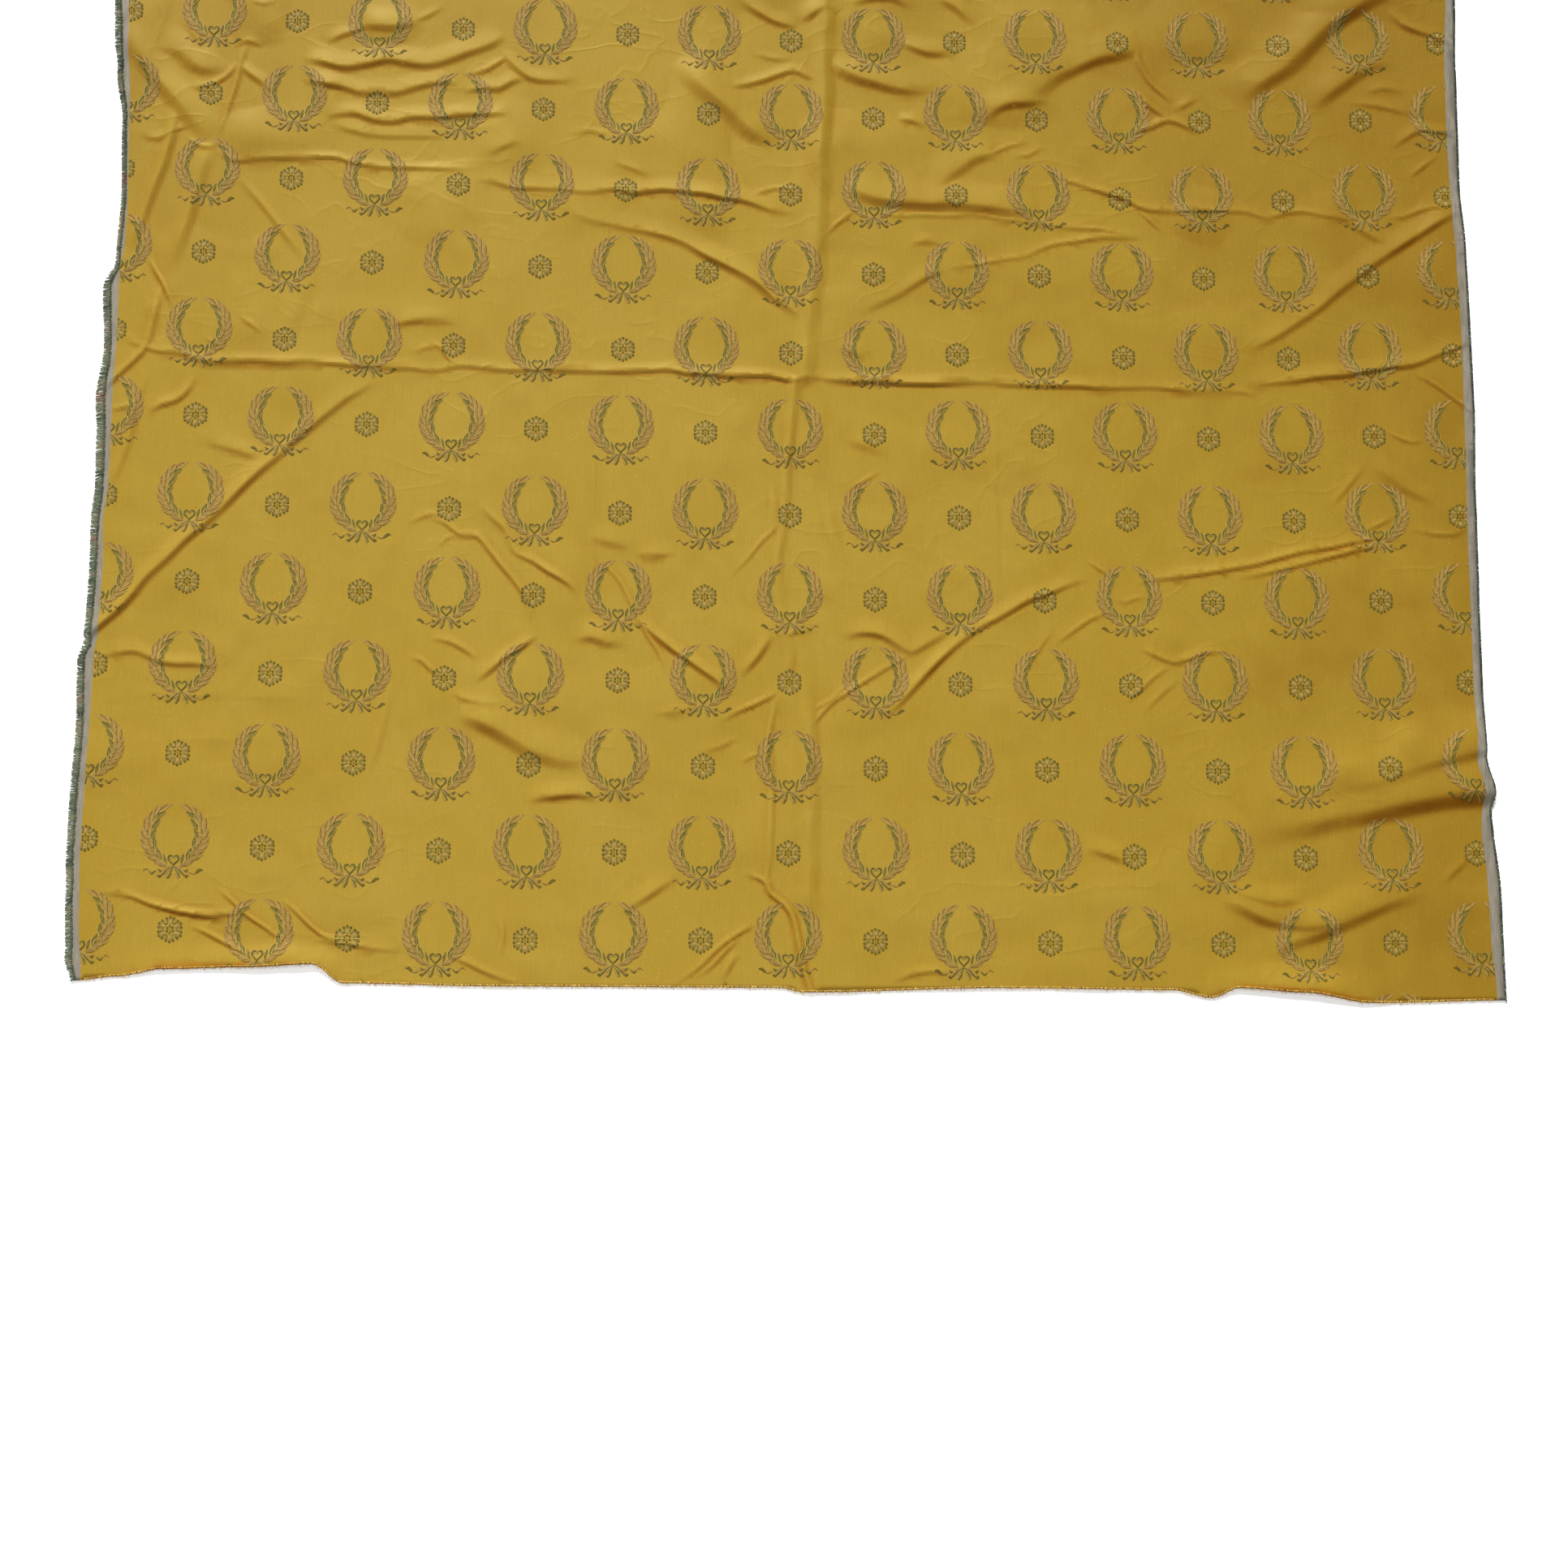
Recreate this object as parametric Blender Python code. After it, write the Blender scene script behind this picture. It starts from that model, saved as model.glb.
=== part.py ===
# A full-width length of brocaded silk satin, lying face up on a flat surface. The cloth is one thin
# sheet, level between its folds, and each selvedge has a fringe of cut pattern wefts outside it.
# Tables and named sizes are in millimetres: "across" runs from the middle of the width to the right,
# "along" runs up the length from the lowest corner of the cut end. The objects are in metres, +Z up,
# with the origin at the middle of the cloth on the surface that it lies on.

from collections import namedtuple
from math import ceil

import bmesh
import bpy
import numpy as np
from mathutils import Vector
from mathutils.geometry import delaunay_2d_cdt

MM = 0.001

LENGTH = 1020.0             # lowest corner of the cut end to the straight top end
CLOTH_THICKNESS = 1.2
FRINGE_GAP = 0.3            # between the cloth's edge and its fringe
FRINGE_BAND = 1.6           # unbroken strip along the root of the fringe
FRINGE_THICKNESS = 1.0
TUFT_PITCH = 24.0
TUFT_WIDTH = 16.0

ALONG_EDGE = 22.0           # spacing of the points along the two cut ends
ALONG_FOLD = 1.15           # spacing of the points along a fold, in its widths
CLOSEST = 8.5               # points nearer than this to an earlier one are left out
FOLD_SECTION = (0.0, -1.0, 1.0, -0.4, 0.4)   # places across a fold, in its widths
BLEND = 3.0                 # how softly folds that meet run into each other
LEVEL = 0.1                 # a rise less than this lies level
KEY_SIZE = 0.01             # points this near each other are the same point

# The selvedges from the cut end upwards. out: the cloth's outer edge from the middle of the width.
# reach: how far the fringe stands out beyond it. It is short where the edge is turned under.
EdgeRow = namedtuple("EdgeRow", "along out reach")

LEFT_EDGE = [
    EdgeRow(14, 657, 2.6),
    EdgeRow(35, 661, 5.0),
    EdgeRow(95, 664, 4.5),
    EdgeRow(130, 665, 5.0),
    EdgeRow(170, 665, 5.0),
    EdgeRow(247, 663, 5.0),
    EdgeRow(316, 665, 5.0),
    EdgeRow(330, 660, 5.0),
    EdgeRow(402, 659, 5.0),
    EdgeRow(450, 659, 6.0),
    EdgeRow(481, 657, 6.0),
    EdgeRow(535, 658, 6.5),
    EdgeRow(570, 660, 7.0),
    EdgeRow(618, 657, 5.0),
    EdgeRow(682, 660, 6.0),
    EdgeRow(705, 653, 2.6),
    EdgeRow(775, 651, 2.6),
    EdgeRow(851, 654, 2.6),
    EdgeRow(905, 660, 4.0),
    EdgeRow(938, 662, 6.0),
    EdgeRow(979, 665, 5.0),
    EdgeRow(1020, 665, 5.0),
]

RIGHT_EDGE = [
    EdgeRow(3, 667.4, 2.6),
    EdgeRow(62, 667, 3.0),
    EdgeRow(104, 667, 3.0),
    EdgeRow(182, 662, 2.6),
    EdgeRow(198, 666, 2.6),
    EdgeRow(234, 659, 2.6),
    EdgeRow(355, 660, 2.6),
    EdgeRow(484, 662, 2.6),
    EdgeRow(583, 665, 2.6),
    EdgeRow(657, 665, 2.6),
    EdgeRow(750, 664, 2.6),
    EdgeRow(801, 661, 2.6),
    EdgeRow(856, 662, 2.6),
    EdgeRow(933, 663, 2.6),
    EdgeRow(1020, 666, 2.6),
]

# The cut end from left to right. It runs up where the folds beside it take up cloth.
CutRow = namedtuple("CutRow", "across along")

CUT_END = [
    CutRow(-657, 14),
    CutRow(-619, 18),
    CutRow(-575, 25),
    CutRow(-500, 27),
    CutRow(-440, 30),
    CutRow(-412, 13),
    CutRow(-280, 11),
    CutRow(-11, 11),
    CutRow(11, 7),
    CutRow(200, 12),
    CutRow(354, 11),
    CutRow(391, 4),
    CutRow(417, 13),
    CutRow(478, 9),
    CutRow(541, 0),
    CutRow(667.4, 3),
]

# One row for each fold. Its crest runs from (x0, y0) to (x1, y1), x across and y along, and leaves the
# straight line by bow, to the left of that direction. It rises by start, middle and end above the
# surface, keeps its full rise for crest either side of its line and falls away over width.
Fold = namedtuple("Fold", "name x0 y0 x1 y1 bow start middle end crest width")

FOLDS = [
    # creases across the whole width
    Fold("cross crease, left end", -658, 636, -535, 609, -3, 7, 6, 4, 0, 20),
    Fold("cross crease, left", -535, 609, -220, 601, 2, 4, 5, 5, 0, 19),
    Fold("cross crease, left of the middle", -220, 601, 17, 598, 6, 5, 6, 8, 0, 20),
    Fold("cross crease, right of the middle", 17, 598, 252, 592, 4, 8, 5, 6, 0, 20),
    Fold("cross crease, right", 252, 592, 455, 604, -6, 6, 5, 5, 0, 19),
    Fold("cross crease, right end", 455, 604, 665, 642, -4, 5, 5, 6, 0, 20),
    Fold("upper crease, left", -567, 834, -325, 810, -3, 6, 7, 4, 0, 18),
    Fold("upper crease, step", -325, 810, -262, 790, 0, 4, 6, 5, 0, 18),
    Fold("upper crease, middle", -262, 790, -72, 787, -2, 5, 7, 8, 0, 19),
    Fold("upper crease, to the middle fold", -72, 787, 20, 758, 4, 8, 7, 7, 0, 18),
    Fold("upper crease, past the fold", 52, 768, 245, 769, 0, 5, 9, 3, 0, 19),
    Fold("upper crease, right", 258, 812, 388, 777, 0, 3, 7, 5, 0, 18),
    Fold("upper crease, to the selvedge", 388, 777, 664, 790, -9, 5, 7, 5, 0, 18),
    Fold("branch below the upper crease", 60, 664, 350, 758, 8, 0, 6, 2, 0, 16),
    # the long fold down the middle, which ends in a flat pleat at the cut end
    Fold("middle fold, top", 30, 1020, 24, 770, -5, 9, 8, 10, 0, 24),
    Fold("middle fold, between creases", 24, 770, 17, 600, -6, 10, 8, 10, 0, 22),
    Fold("middle fold, below", 17, 600, -12, 455, 0, 10, 6, 6, 0, 22),
    Fold("middle fold, to the pleat", -12, 455, 0, 300, -4, 6, 5, 5, 3, 20),
    Fold("middle pleat", 0, 300, -1, 62, 0, 5, 6, 4, 15, 16),
    Fold("pleat's tuck, upper", -44, 122, -2, 82, 3, 2, 8, 7, 0, 15),
    Fold("pleat's tuck, lower", -2, 82, 14, 7, 2, 7, 8, 9, 0, 16),
    Fold("tuck beside the pleat", -92, 34, -32, 72, 0, 3, 8, 2, 0, 16),
    Fold("tuck above the pleat, left", -64, 268, -18, 284, 0, 2, 6, 2, 0, 14),
    # long slanting creases
    Fold("upper slant, start", -226, 770, -139, 746, 0, 2, 4, 6, 0, 16),
    Fold("upper slant", -139, 746, 4, 662, 4, 6, 9, 6, 0, 20),
    Fold("left slant", -426, 568, -660, 328, 0, 2, 5, 7, 0, 17),
    Fold("right slant, lower", 8, 250, 233, 394, 9, 6, 8, 6, 0, 18),
    Fold("right slant, upper", 233, 394, 608, 454, -12, 6, 6, 2, 0, 17),
    Fold("upper right slant", 642, 776, 440, 632, 0, 4, 7, 2, 0, 20),
    Fold("slant from the pleat", 20, 296, 110, 352, 4, 3, 6, 2, 0, 15),
    # pinches left of the middle
    Fold("left pinch, long", -340, 454, -242, 355, 6, 2, 7, 4, 0, 16),
    Fold("left pinch, inner", -268, 430, -214, 396, 0, 2, 6, 2, 0, 14),
    Fold("left pinch, lower", -345, 338, -293, 314, 0, 2, 5, 2, 0, 14),
    Fold("left pinch, rising", -312, 298, -242, 338, 0, 2, 6, 2, 0, 15),
    Fold("left pinch, foot", -312, 264, -216, 214, -8, 2, 6, 2, 0, 14),
    Fold("middle pinch, upper", -178, 406, -116, 310, 5, 2, 8, 4, 0, 16),
    Fold("middle pinch, lower", -154, 354, -62, 290, 4, 2, 7, 3, 0, 16),
    # the rumpled band below the top end
    Fold("rumple, first", -482, 928, -262, 944, -5, 2, 7, 2, 0, 19),
    Fold("rumple, second", -478, 893, -326, 890, 7, 2, 7, 3, 0, 16),
    Fold("rumple, third", -486, 860, -296, 864, 8, 2, 6, 2, 0, 15),
    Fold("rumple, right", -330, 880, -252, 912, 0, 3, 7, 2, 0, 16),
    Fold("star, up right", -567, 834, -540, 944, 0, 6, 6, 2, 0, 17),
    Fold("star, up left", -567, 834, -642, 936, 5, 6, 6, 3, 0, 22),
    Fold("star, down left", -567, 834, -614, 690, 0, 6, 7, 3, 0, 20),
    Fold("left pleat", -602, 868, -640, 728, 0, 2, 7, 3, 0, 18),
    Fold("left gather", -606, 690, -626, 618, 0, 2, 7, 7, 0, 17),
    Fold("left gather, to the selvedge", -626, 618, -658, 570, 0, 7, 6, 6, 0, 17),
    Fold("ridge left of the middle fold", -96, 902, 30, 928, 6, 2, 7, 5, 0, 19),
    Fold("ridge right of the middle fold", 34, 930, 150, 893, -7, 5, 8, 2, 0, 24),
    Fold("soft ridge, inner right", 112, 868, 196, 826, 0, 2, 7, 4, 0, 20),
    Fold("soft ridge, rising right", 190, 846, 336, 944, 7, 3, 9, 3, 0, 25),
    Fold("cross wrinkle, falling", 336, 944, 424, 854, -4, 3, 7, 3, 0, 16),
    Fold("cross wrinkle, rising", 338, 856, 384, 876, 0, 2, 6, 5, 0, 15),
    Fold("soft ridge, far right", 424, 900, 566, 1012, 0, 2, 10, 6, 0, 28),
    Fold("small ridge, far right", 516, 902, 646, 934, 4, 2, 5, 3, 0, 18),
    # big soft folds at the lower right corner
    Fold("corner fold, upper", 462, 186, 664, 224, 6, 2, 9, 12, 0, 18),
    Fold("corner fold, lower", 420, 148, 665, 194, 5, 2, 10, 14, 0, 20),
    Fold("corner arc, upper", 424, 112, 506, 99, -8, 2, 7, 2, 0, 15),
    Fold("corner arc, middle", 404, 98, 580, 100, -24, 2, 7, 2, 0, 17),
    Fold("corner arc, lower", 446, 52, 606, 102, -14, 2, 7, 2, 0, 18),
    Fold("raised cut end, right", 388, 14, 545, 10, 3, 2, 9, 2, 2, 18),
    # tucks at the lower left corner
    Fold("corner tuck, long", -634, 96, -512, 70, -4, 2, 9, 3, 0, 17),
    Fold("corner tuck, to the cut end", -548, 66, -480, 30, -2, 3, 6, 8, 0, 15),
    Fold("corner tuck, inner", -514, 96, -456, 54, 0, 2, 7, 3, 0, 14),
    Fold("corner tuck, last", -464, 84, -436, 52, 0, 2, 7, 5, 0, 14),
    Fold("corner tuck, running out", -436, 52, -360, 42, 3, 5, 5, 1, 0, 13),
    Fold("raised cut end, left", -604, 24, -488, 32, 3, 2, 9, 7, 2, 16),
    Fold("raised cut end, left arch", -480, 30, -416, 22, 6, 8, 9, 2, 0, 16),
]


def ease(places, table, column, key):
    # a table's column, read smoothly between its rows
    keys = np.array([getattr(row, key) for row in table], float)
    values = np.array([getattr(row, column) for row in table], float)
    places = np.clip(places, keys[0], keys[-1])
    below = np.clip(np.searchsorted(keys, places, side="right") - 1, 0, len(keys) - 2)
    part = (places - keys[below]) / (keys[below + 1] - keys[below])
    part = part * part * (3.0 - 2.0 * part)
    return values[below] + (values[below + 1] - values[below]) * part


def left_edge(along):
    return -ease(along, LEFT_EDGE, "out", "along")


def right_edge(along):
    return ease(along, RIGHT_EDGE, "out", "along")


def cut_end(across):
    return ease(across, CUT_END, "along", "across")


def crest_points(fold, parts):
    # points on the fold's crest line, and the direction across it
    start = np.array([fold.x0, fold.y0], float)
    run = np.array([fold.x1, fold.y1], float) - start
    across = np.array([-run[1], run[0]]) / np.hypot(*run)
    parts = np.asarray(parts, float)[:, None]
    return start + run * parts + across * fold.bow * 4.0 * parts * (1.0 - parts), across


def fold_rise(fold, points):
    start = np.array([fold.x0, fold.y0], float)
    run = np.array([fold.x1, fold.y1], float) - start
    parts = np.clip((points - start) @ run / (run @ run), 0.0, 1.0)
    crests, _ = crest_points(fold, parts)
    away = np.hypot(*(points - crests).T) - fold.crest
    slope = np.clip(away / fold.width, 0.0, 1.0)
    ends = np.where(parts < 0.5, fold.start, fold.end)
    near_middle = 0.5 - 0.5 * np.cos(2.0 * np.pi * parts)
    height = ends + (fold.middle - ends) * near_middle
    return height * np.cos(0.5 * np.pi * slope) ** 2


def rise(points):
    # height of the cloth's underside above the surface
    points = np.asarray(points, float)
    total = np.zeros(len(points))
    for fold in FOLDS:
        total += fold_rise(fold, points) ** BLEND
    height = total ** (1.0 / BLEND)
    return np.where(height < LEVEL, 0.0, height)


def selvedge_places(table):
    # places along a selvedge where a tuft of its fringe begins or ends
    first, last = table[0].along, table[-1].along
    tufts = np.arange(first, last - TUFT_WIDTH, TUFT_PITCH)
    places = [place for tuft in tufts for place in (tuft, tuft + TUFT_WIDTH)]
    return np.array([*places, last])


def spaced(first, last, spacing):
    return np.linspace(first, last, ceil(abs(last - first) / spacing) + 1)


def outline():
    # the cloth's edge, anticlockwise from the lower left corner
    lower = spaced(CUT_END[0].across, CUT_END[-1].across, ALONG_EDGE)
    right = selvedge_places(RIGHT_EDGE)[1:]
    top = spaced(right_edge(LENGTH), left_edge(LENGTH), ALONG_EDGE)[1:]
    left = selvedge_places(LEFT_EDGE)[::-1][1:-1]
    return np.concatenate([
        np.column_stack([lower, cut_end(lower)]),
        np.column_stack([right_edge(right), right]),
        np.column_stack([top, np.full(len(top), LENGTH)]),
        np.column_stack([left_edge(left), left]),
    ])


def inside(point, margin):
    across, along = point
    return (
        left_edge(along) + margin < across < right_edge(along) - margin
        and cut_end(across) + margin < along < LENGTH - margin
    )


def fold_points(kept):
    # crests first, then feet and slopes, leaving out what lies too near an earlier point. Each line runs
    # one width past both ends of its fold, so that the cloth there comes down to the surface.
    for place in FOLD_SECTION:
        for fold in FOLDS:
            length = np.hypot(fold.x1 - fold.x0, fold.y1 - fold.y0)
            past = fold.width / length
            parts = spaced(-past, 1.0 + past, ALONG_FOLD * past)
            crests, across = crest_points(fold, parts)
            shift = np.sign(place) * fold.crest + place * fold.width
            for point in crests + across * shift:
                if inside(point, CLOSEST) and np.hypot(*(np.array(kept) - point).T).min() > CLOSEST:
                    kept.append(point)
    return kept


def material(name, colour, roughness, sheen):
    made = bpy.data.materials.new(name)
    made.use_nodes = True
    shader = made.node_tree.nodes["Principled BSDF"]
    shader.inputs["Base Color"].default_value = (*colour, 1.0)
    shader.inputs["Roughness"].default_value = roughness
    shader.inputs["Metallic"].default_value = 0.0
    shader.inputs["Sheen Weight"].default_value = sheen
    made.diffuse_color = (*colour, 1.0)
    return made


def thick_sheet(name, points, heights, faces, thickness, finish):
    # a closed solid: the flat pattern of faces at its heights, and again one thickness higher
    mesh = bmesh.new()
    layers = []
    for lift in (0.0, thickness):
        layers.append([
            mesh.verts.new(Vector((x, y - 0.5 * LENGTH, height + lift)) * MM)
            for (x, y), height in zip(points, heights)
        ])
    lower, upper = layers
    sides = {}
    for face in faces:
        mesh.faces.new([upper[i] for i in face])
        mesh.faces.new([lower[i] for i in reversed(face)])
        for a, b in zip(face, [*face[1:], face[0]]):
            sides[a, b] = sides.get((b, a), 0) + 1
    for a, b in sides:
        if (b, a) not in sides:
            mesh.faces.new([lower[a], lower[b], upper[b], upper[a]])
    bmesh.ops.triangulate(mesh, faces=mesh.faces)
    data = bpy.data.meshes.new(name)
    mesh.to_mesh(data)
    mesh.free()
    data.materials.append(finish)
    made = bpy.data.objects.new(name, data)
    bpy.context.collection.objects.link(made)
    return made


def cloth(finish):
    rim = outline()
    points = fold_points(list(rim))
    edges = [(i, (i + 1) % len(rim)) for i in range(len(rim))]
    flat = [Vector(point) for point in points]
    inner_faces = 1
    points, _, faces, *_ = delaunay_2d_cdt(flat, edges, [], inner_faces, KEY_SIZE)
    points = np.array([tuple(point) for point in points])
    return thick_sheet("satin_cloth", points, rise(points), faces, CLOTH_THICKNESS, finish)


def fringe(name, table, side, finish):
    # one comb: a band along the selvedge, and a tuft on every other stretch of it
    places = selvedge_places(table)
    edge = side * ease(places, table, "out", "along")
    reach = ease(places, table, "reach", "along")
    points = [
        (edge[i] + side * out, place)
        for i, place in enumerate(places)
        for out in (FRINGE_GAP, FRINGE_GAP + FRINGE_BAND, reach[i])
    ]
    heights = np.repeat(rise(np.column_stack([edge, places])), 3)
    faces = []
    for i in range(len(places) - 1):
        columns = (0, 1) if i % 2 == 0 else (0,)
        for column in columns:
            a, b = 3 * i + column, 3 * i + 3 + column
            face = [a, a + 1, b + 1, b]
            faces.append(face if side > 0 else face[::-1])
    used = sorted({i for face in faces for i in face})
    renamed = {old: new for new, old in enumerate(used)}
    faces = [[renamed[i] for i in face] for face in faces]
    points = [points[i] for i in used]
    return thick_sheet(name, points, heights[used], faces, FRINGE_THICKNESS, finish)


def main():
    for thing in list(bpy.data.objects):
        bpy.data.objects.remove(thing)
    gold = material("gold_satin", (0.46, 0.31, 0.05), 0.38, 0.3)
    green = material("pattern_weft", (0.09, 0.12, 0.05), 0.8, 0.2)
    cloth(gold)
    fringe("weft_fringe_left", LEFT_EDGE, -1, green)
    fringe("weft_fringe_right", RIGHT_EDGE, 1, green)


main()
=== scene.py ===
from collections import namedtuple
from math import ceil, cos, pi, radians, sin

import bpy
import numpy as np
from mathutils import Euler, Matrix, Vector
from mathutils.geometry import delaunay_2d_cdt


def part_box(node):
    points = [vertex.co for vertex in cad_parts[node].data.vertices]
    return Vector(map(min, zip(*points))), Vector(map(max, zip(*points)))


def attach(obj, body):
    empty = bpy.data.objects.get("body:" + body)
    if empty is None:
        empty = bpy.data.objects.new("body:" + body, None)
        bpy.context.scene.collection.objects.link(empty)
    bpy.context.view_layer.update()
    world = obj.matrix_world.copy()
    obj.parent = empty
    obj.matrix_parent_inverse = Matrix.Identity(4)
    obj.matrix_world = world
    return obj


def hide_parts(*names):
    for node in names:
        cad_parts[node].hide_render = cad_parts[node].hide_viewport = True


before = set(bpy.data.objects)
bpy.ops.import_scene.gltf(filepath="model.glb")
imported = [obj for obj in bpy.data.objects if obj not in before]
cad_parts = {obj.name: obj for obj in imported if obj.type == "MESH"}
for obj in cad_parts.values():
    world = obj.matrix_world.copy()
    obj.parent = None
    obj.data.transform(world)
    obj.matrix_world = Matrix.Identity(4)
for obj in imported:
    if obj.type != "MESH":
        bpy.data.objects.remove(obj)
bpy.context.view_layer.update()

# A full-width length of gold silk satin, brocaded with laurel wreaths and rosettes in a half-drop, lying
# face up in soft creases. Tables are in millimetres: "across" runs from the middle of the width to the
# right, "along" runs up the length from the lowest corner of the cut end.

clothLow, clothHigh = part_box("satin_cloth")
mm = 0.001
clothLength = (clothHigh.y - clothLow.y) / mm


def say(stage):
    print("silk:", stage)


def inFrame(across, along, height):
    # millimetres on the cloth to metres in the frame
    return np.column_stack([across * mm, clothLow.y + along * mm, height * mm])


# the edges of the cloth

EdgeRow = namedtuple("EdgeRow", "along out reach")      # outer edge of the cloth, reach of its fringe
GroundRow = namedtuple("GroundRow", "along out")        # where the gold ground meets the selvedge
CutRow = namedtuple("CutRow", "across along")           # the raw cut end

leftEdge = [
    EdgeRow(14, 657, 2.6), EdgeRow(35, 661, 5.0), EdgeRow(95, 664, 4.5), EdgeRow(130, 665, 5.0),
    EdgeRow(170, 665, 5.0), EdgeRow(247, 663, 5.0), EdgeRow(316, 665, 5.0), EdgeRow(330, 660, 5.0),
    EdgeRow(402, 659, 5.0), EdgeRow(450, 659, 6.0), EdgeRow(481, 657, 6.0), EdgeRow(535, 658, 6.5),
    EdgeRow(570, 660, 7.0), EdgeRow(618, 657, 5.0), EdgeRow(682, 660, 6.0), EdgeRow(705, 653, 2.6),
    EdgeRow(775, 651, 2.6), EdgeRow(851, 654, 2.6), EdgeRow(905, 660, 4.0), EdgeRow(938, 662, 6.0),
    EdgeRow(979, 665, 5.0), EdgeRow(1020, 665, 5.0),
]
rightEdge = [
    EdgeRow(3, 667.4, 2.6), EdgeRow(62, 667, 3.0), EdgeRow(104, 667, 3.0), EdgeRow(182, 662, 2.6),
    EdgeRow(198, 666, 2.6), EdgeRow(234, 659, 2.6), EdgeRow(355, 660, 2.6), EdgeRow(484, 662, 2.6),
    EdgeRow(583, 665, 2.6), EdgeRow(657, 665, 2.6), EdgeRow(750, 664, 2.6), EdgeRow(801, 661, 2.6),
    EdgeRow(856, 662, 2.6), EdgeRow(933, 663, 2.6), EdgeRow(1020, 666, 2.6),
]
leftGround = [
    GroundRow(10, 650), GroundRow(77, 655), GroundRow(129, 657), GroundRow(280, 655),
    GroundRow(318, 655), GroundRow(341, 652), GroundRow(404, 651), GroundRow(450, 653),
    GroundRow(486, 650), GroundRow(577, 651), GroundRow(632, 650), GroundRow(696, 651),
    GroundRow(729, 647), GroundRow(763, 647), GroundRow(870, 650), GroundRow(938, 654),
    GroundRow(979, 656), GroundRow(1020, 657),
]
rightGround = [
    GroundRow(8, 660), GroundRow(62, 657), GroundRow(120, 656), GroundRow(164, 653),
    GroundRow(200, 656), GroundRow(234, 650), GroundRow(260, 652), GroundRow(400, 653),
    GroundRow(580, 656), GroundRow(657, 657), GroundRow(741, 655), GroundRow(781, 653),
    GroundRow(856, 652), GroundRow(933, 653), GroundRow(1020, 658),
]
cutEnd = [
    CutRow(-657, 14), CutRow(-619, 18), CutRow(-575, 25), CutRow(-500, 27), CutRow(-440, 30),
    CutRow(-412, 13), CutRow(-280, 11), CutRow(-11, 11), CutRow(11, 7), CutRow(200, 12),
    CutRow(354, 11), CutRow(391, 4), CutRow(417, 13), CutRow(478, 9), CutRow(541, 0), CutRow(667.4, 3),
]


def ease(places, table, key, column):
    # a table's column, read smoothly between its rows
    keys = np.array([getattr(row, key) for row in table], float)
    values = np.array([getattr(row, column) for row in table], float)
    places = np.clip(places, keys[0], keys[-1])
    below = np.clip(np.searchsorted(keys, places, side="right") - 1, 0, len(keys) - 2)
    part = (places - keys[below]) / (keys[below + 1] - keys[below])
    part = part * part * (3.0 - 2.0 * part)
    return values[below] + (values[below + 1] - values[below]) * part


noiseOrigin = (160.5, 40.5)     # in cells of the noise, from its corner to the cloth's origin


def softNoise(across, along, size, seed):
    # smooth hills and hollows about one size apart, from -1 to 1
    count = 320
    grid = np.random.default_rng(seed).uniform(-1.0, 1.0, (count, count))
    x, y = across / size + noiseOrigin[0], along / size + noiseOrigin[1]
    i, j = np.floor(x).astype(int), np.floor(y).astype(int)
    a, b = x - i, y - j
    a, b = a * a * (3.0 - 2.0 * a), b * b * (3.0 - 2.0 * b)
    i, j, iNext, jNext = i % count, j % count, (i + 1) % count, (j + 1) % count
    near = grid[i, j] * (1.0 - a) + grid[iNext, j] * a
    far = grid[i, jNext] * (1.0 - a) + grid[iNext, jNext] * a
    return near * (1.0 - b) + far * b


# the folds

# A crease runs through its stations (across, along, rise), each rising that far above the surface. It is
# creased along its crest when keen is 1 and rounded when it is 0, and width is how far it falls away.
Crease = namedtuple("Crease", "width keen route")

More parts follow.
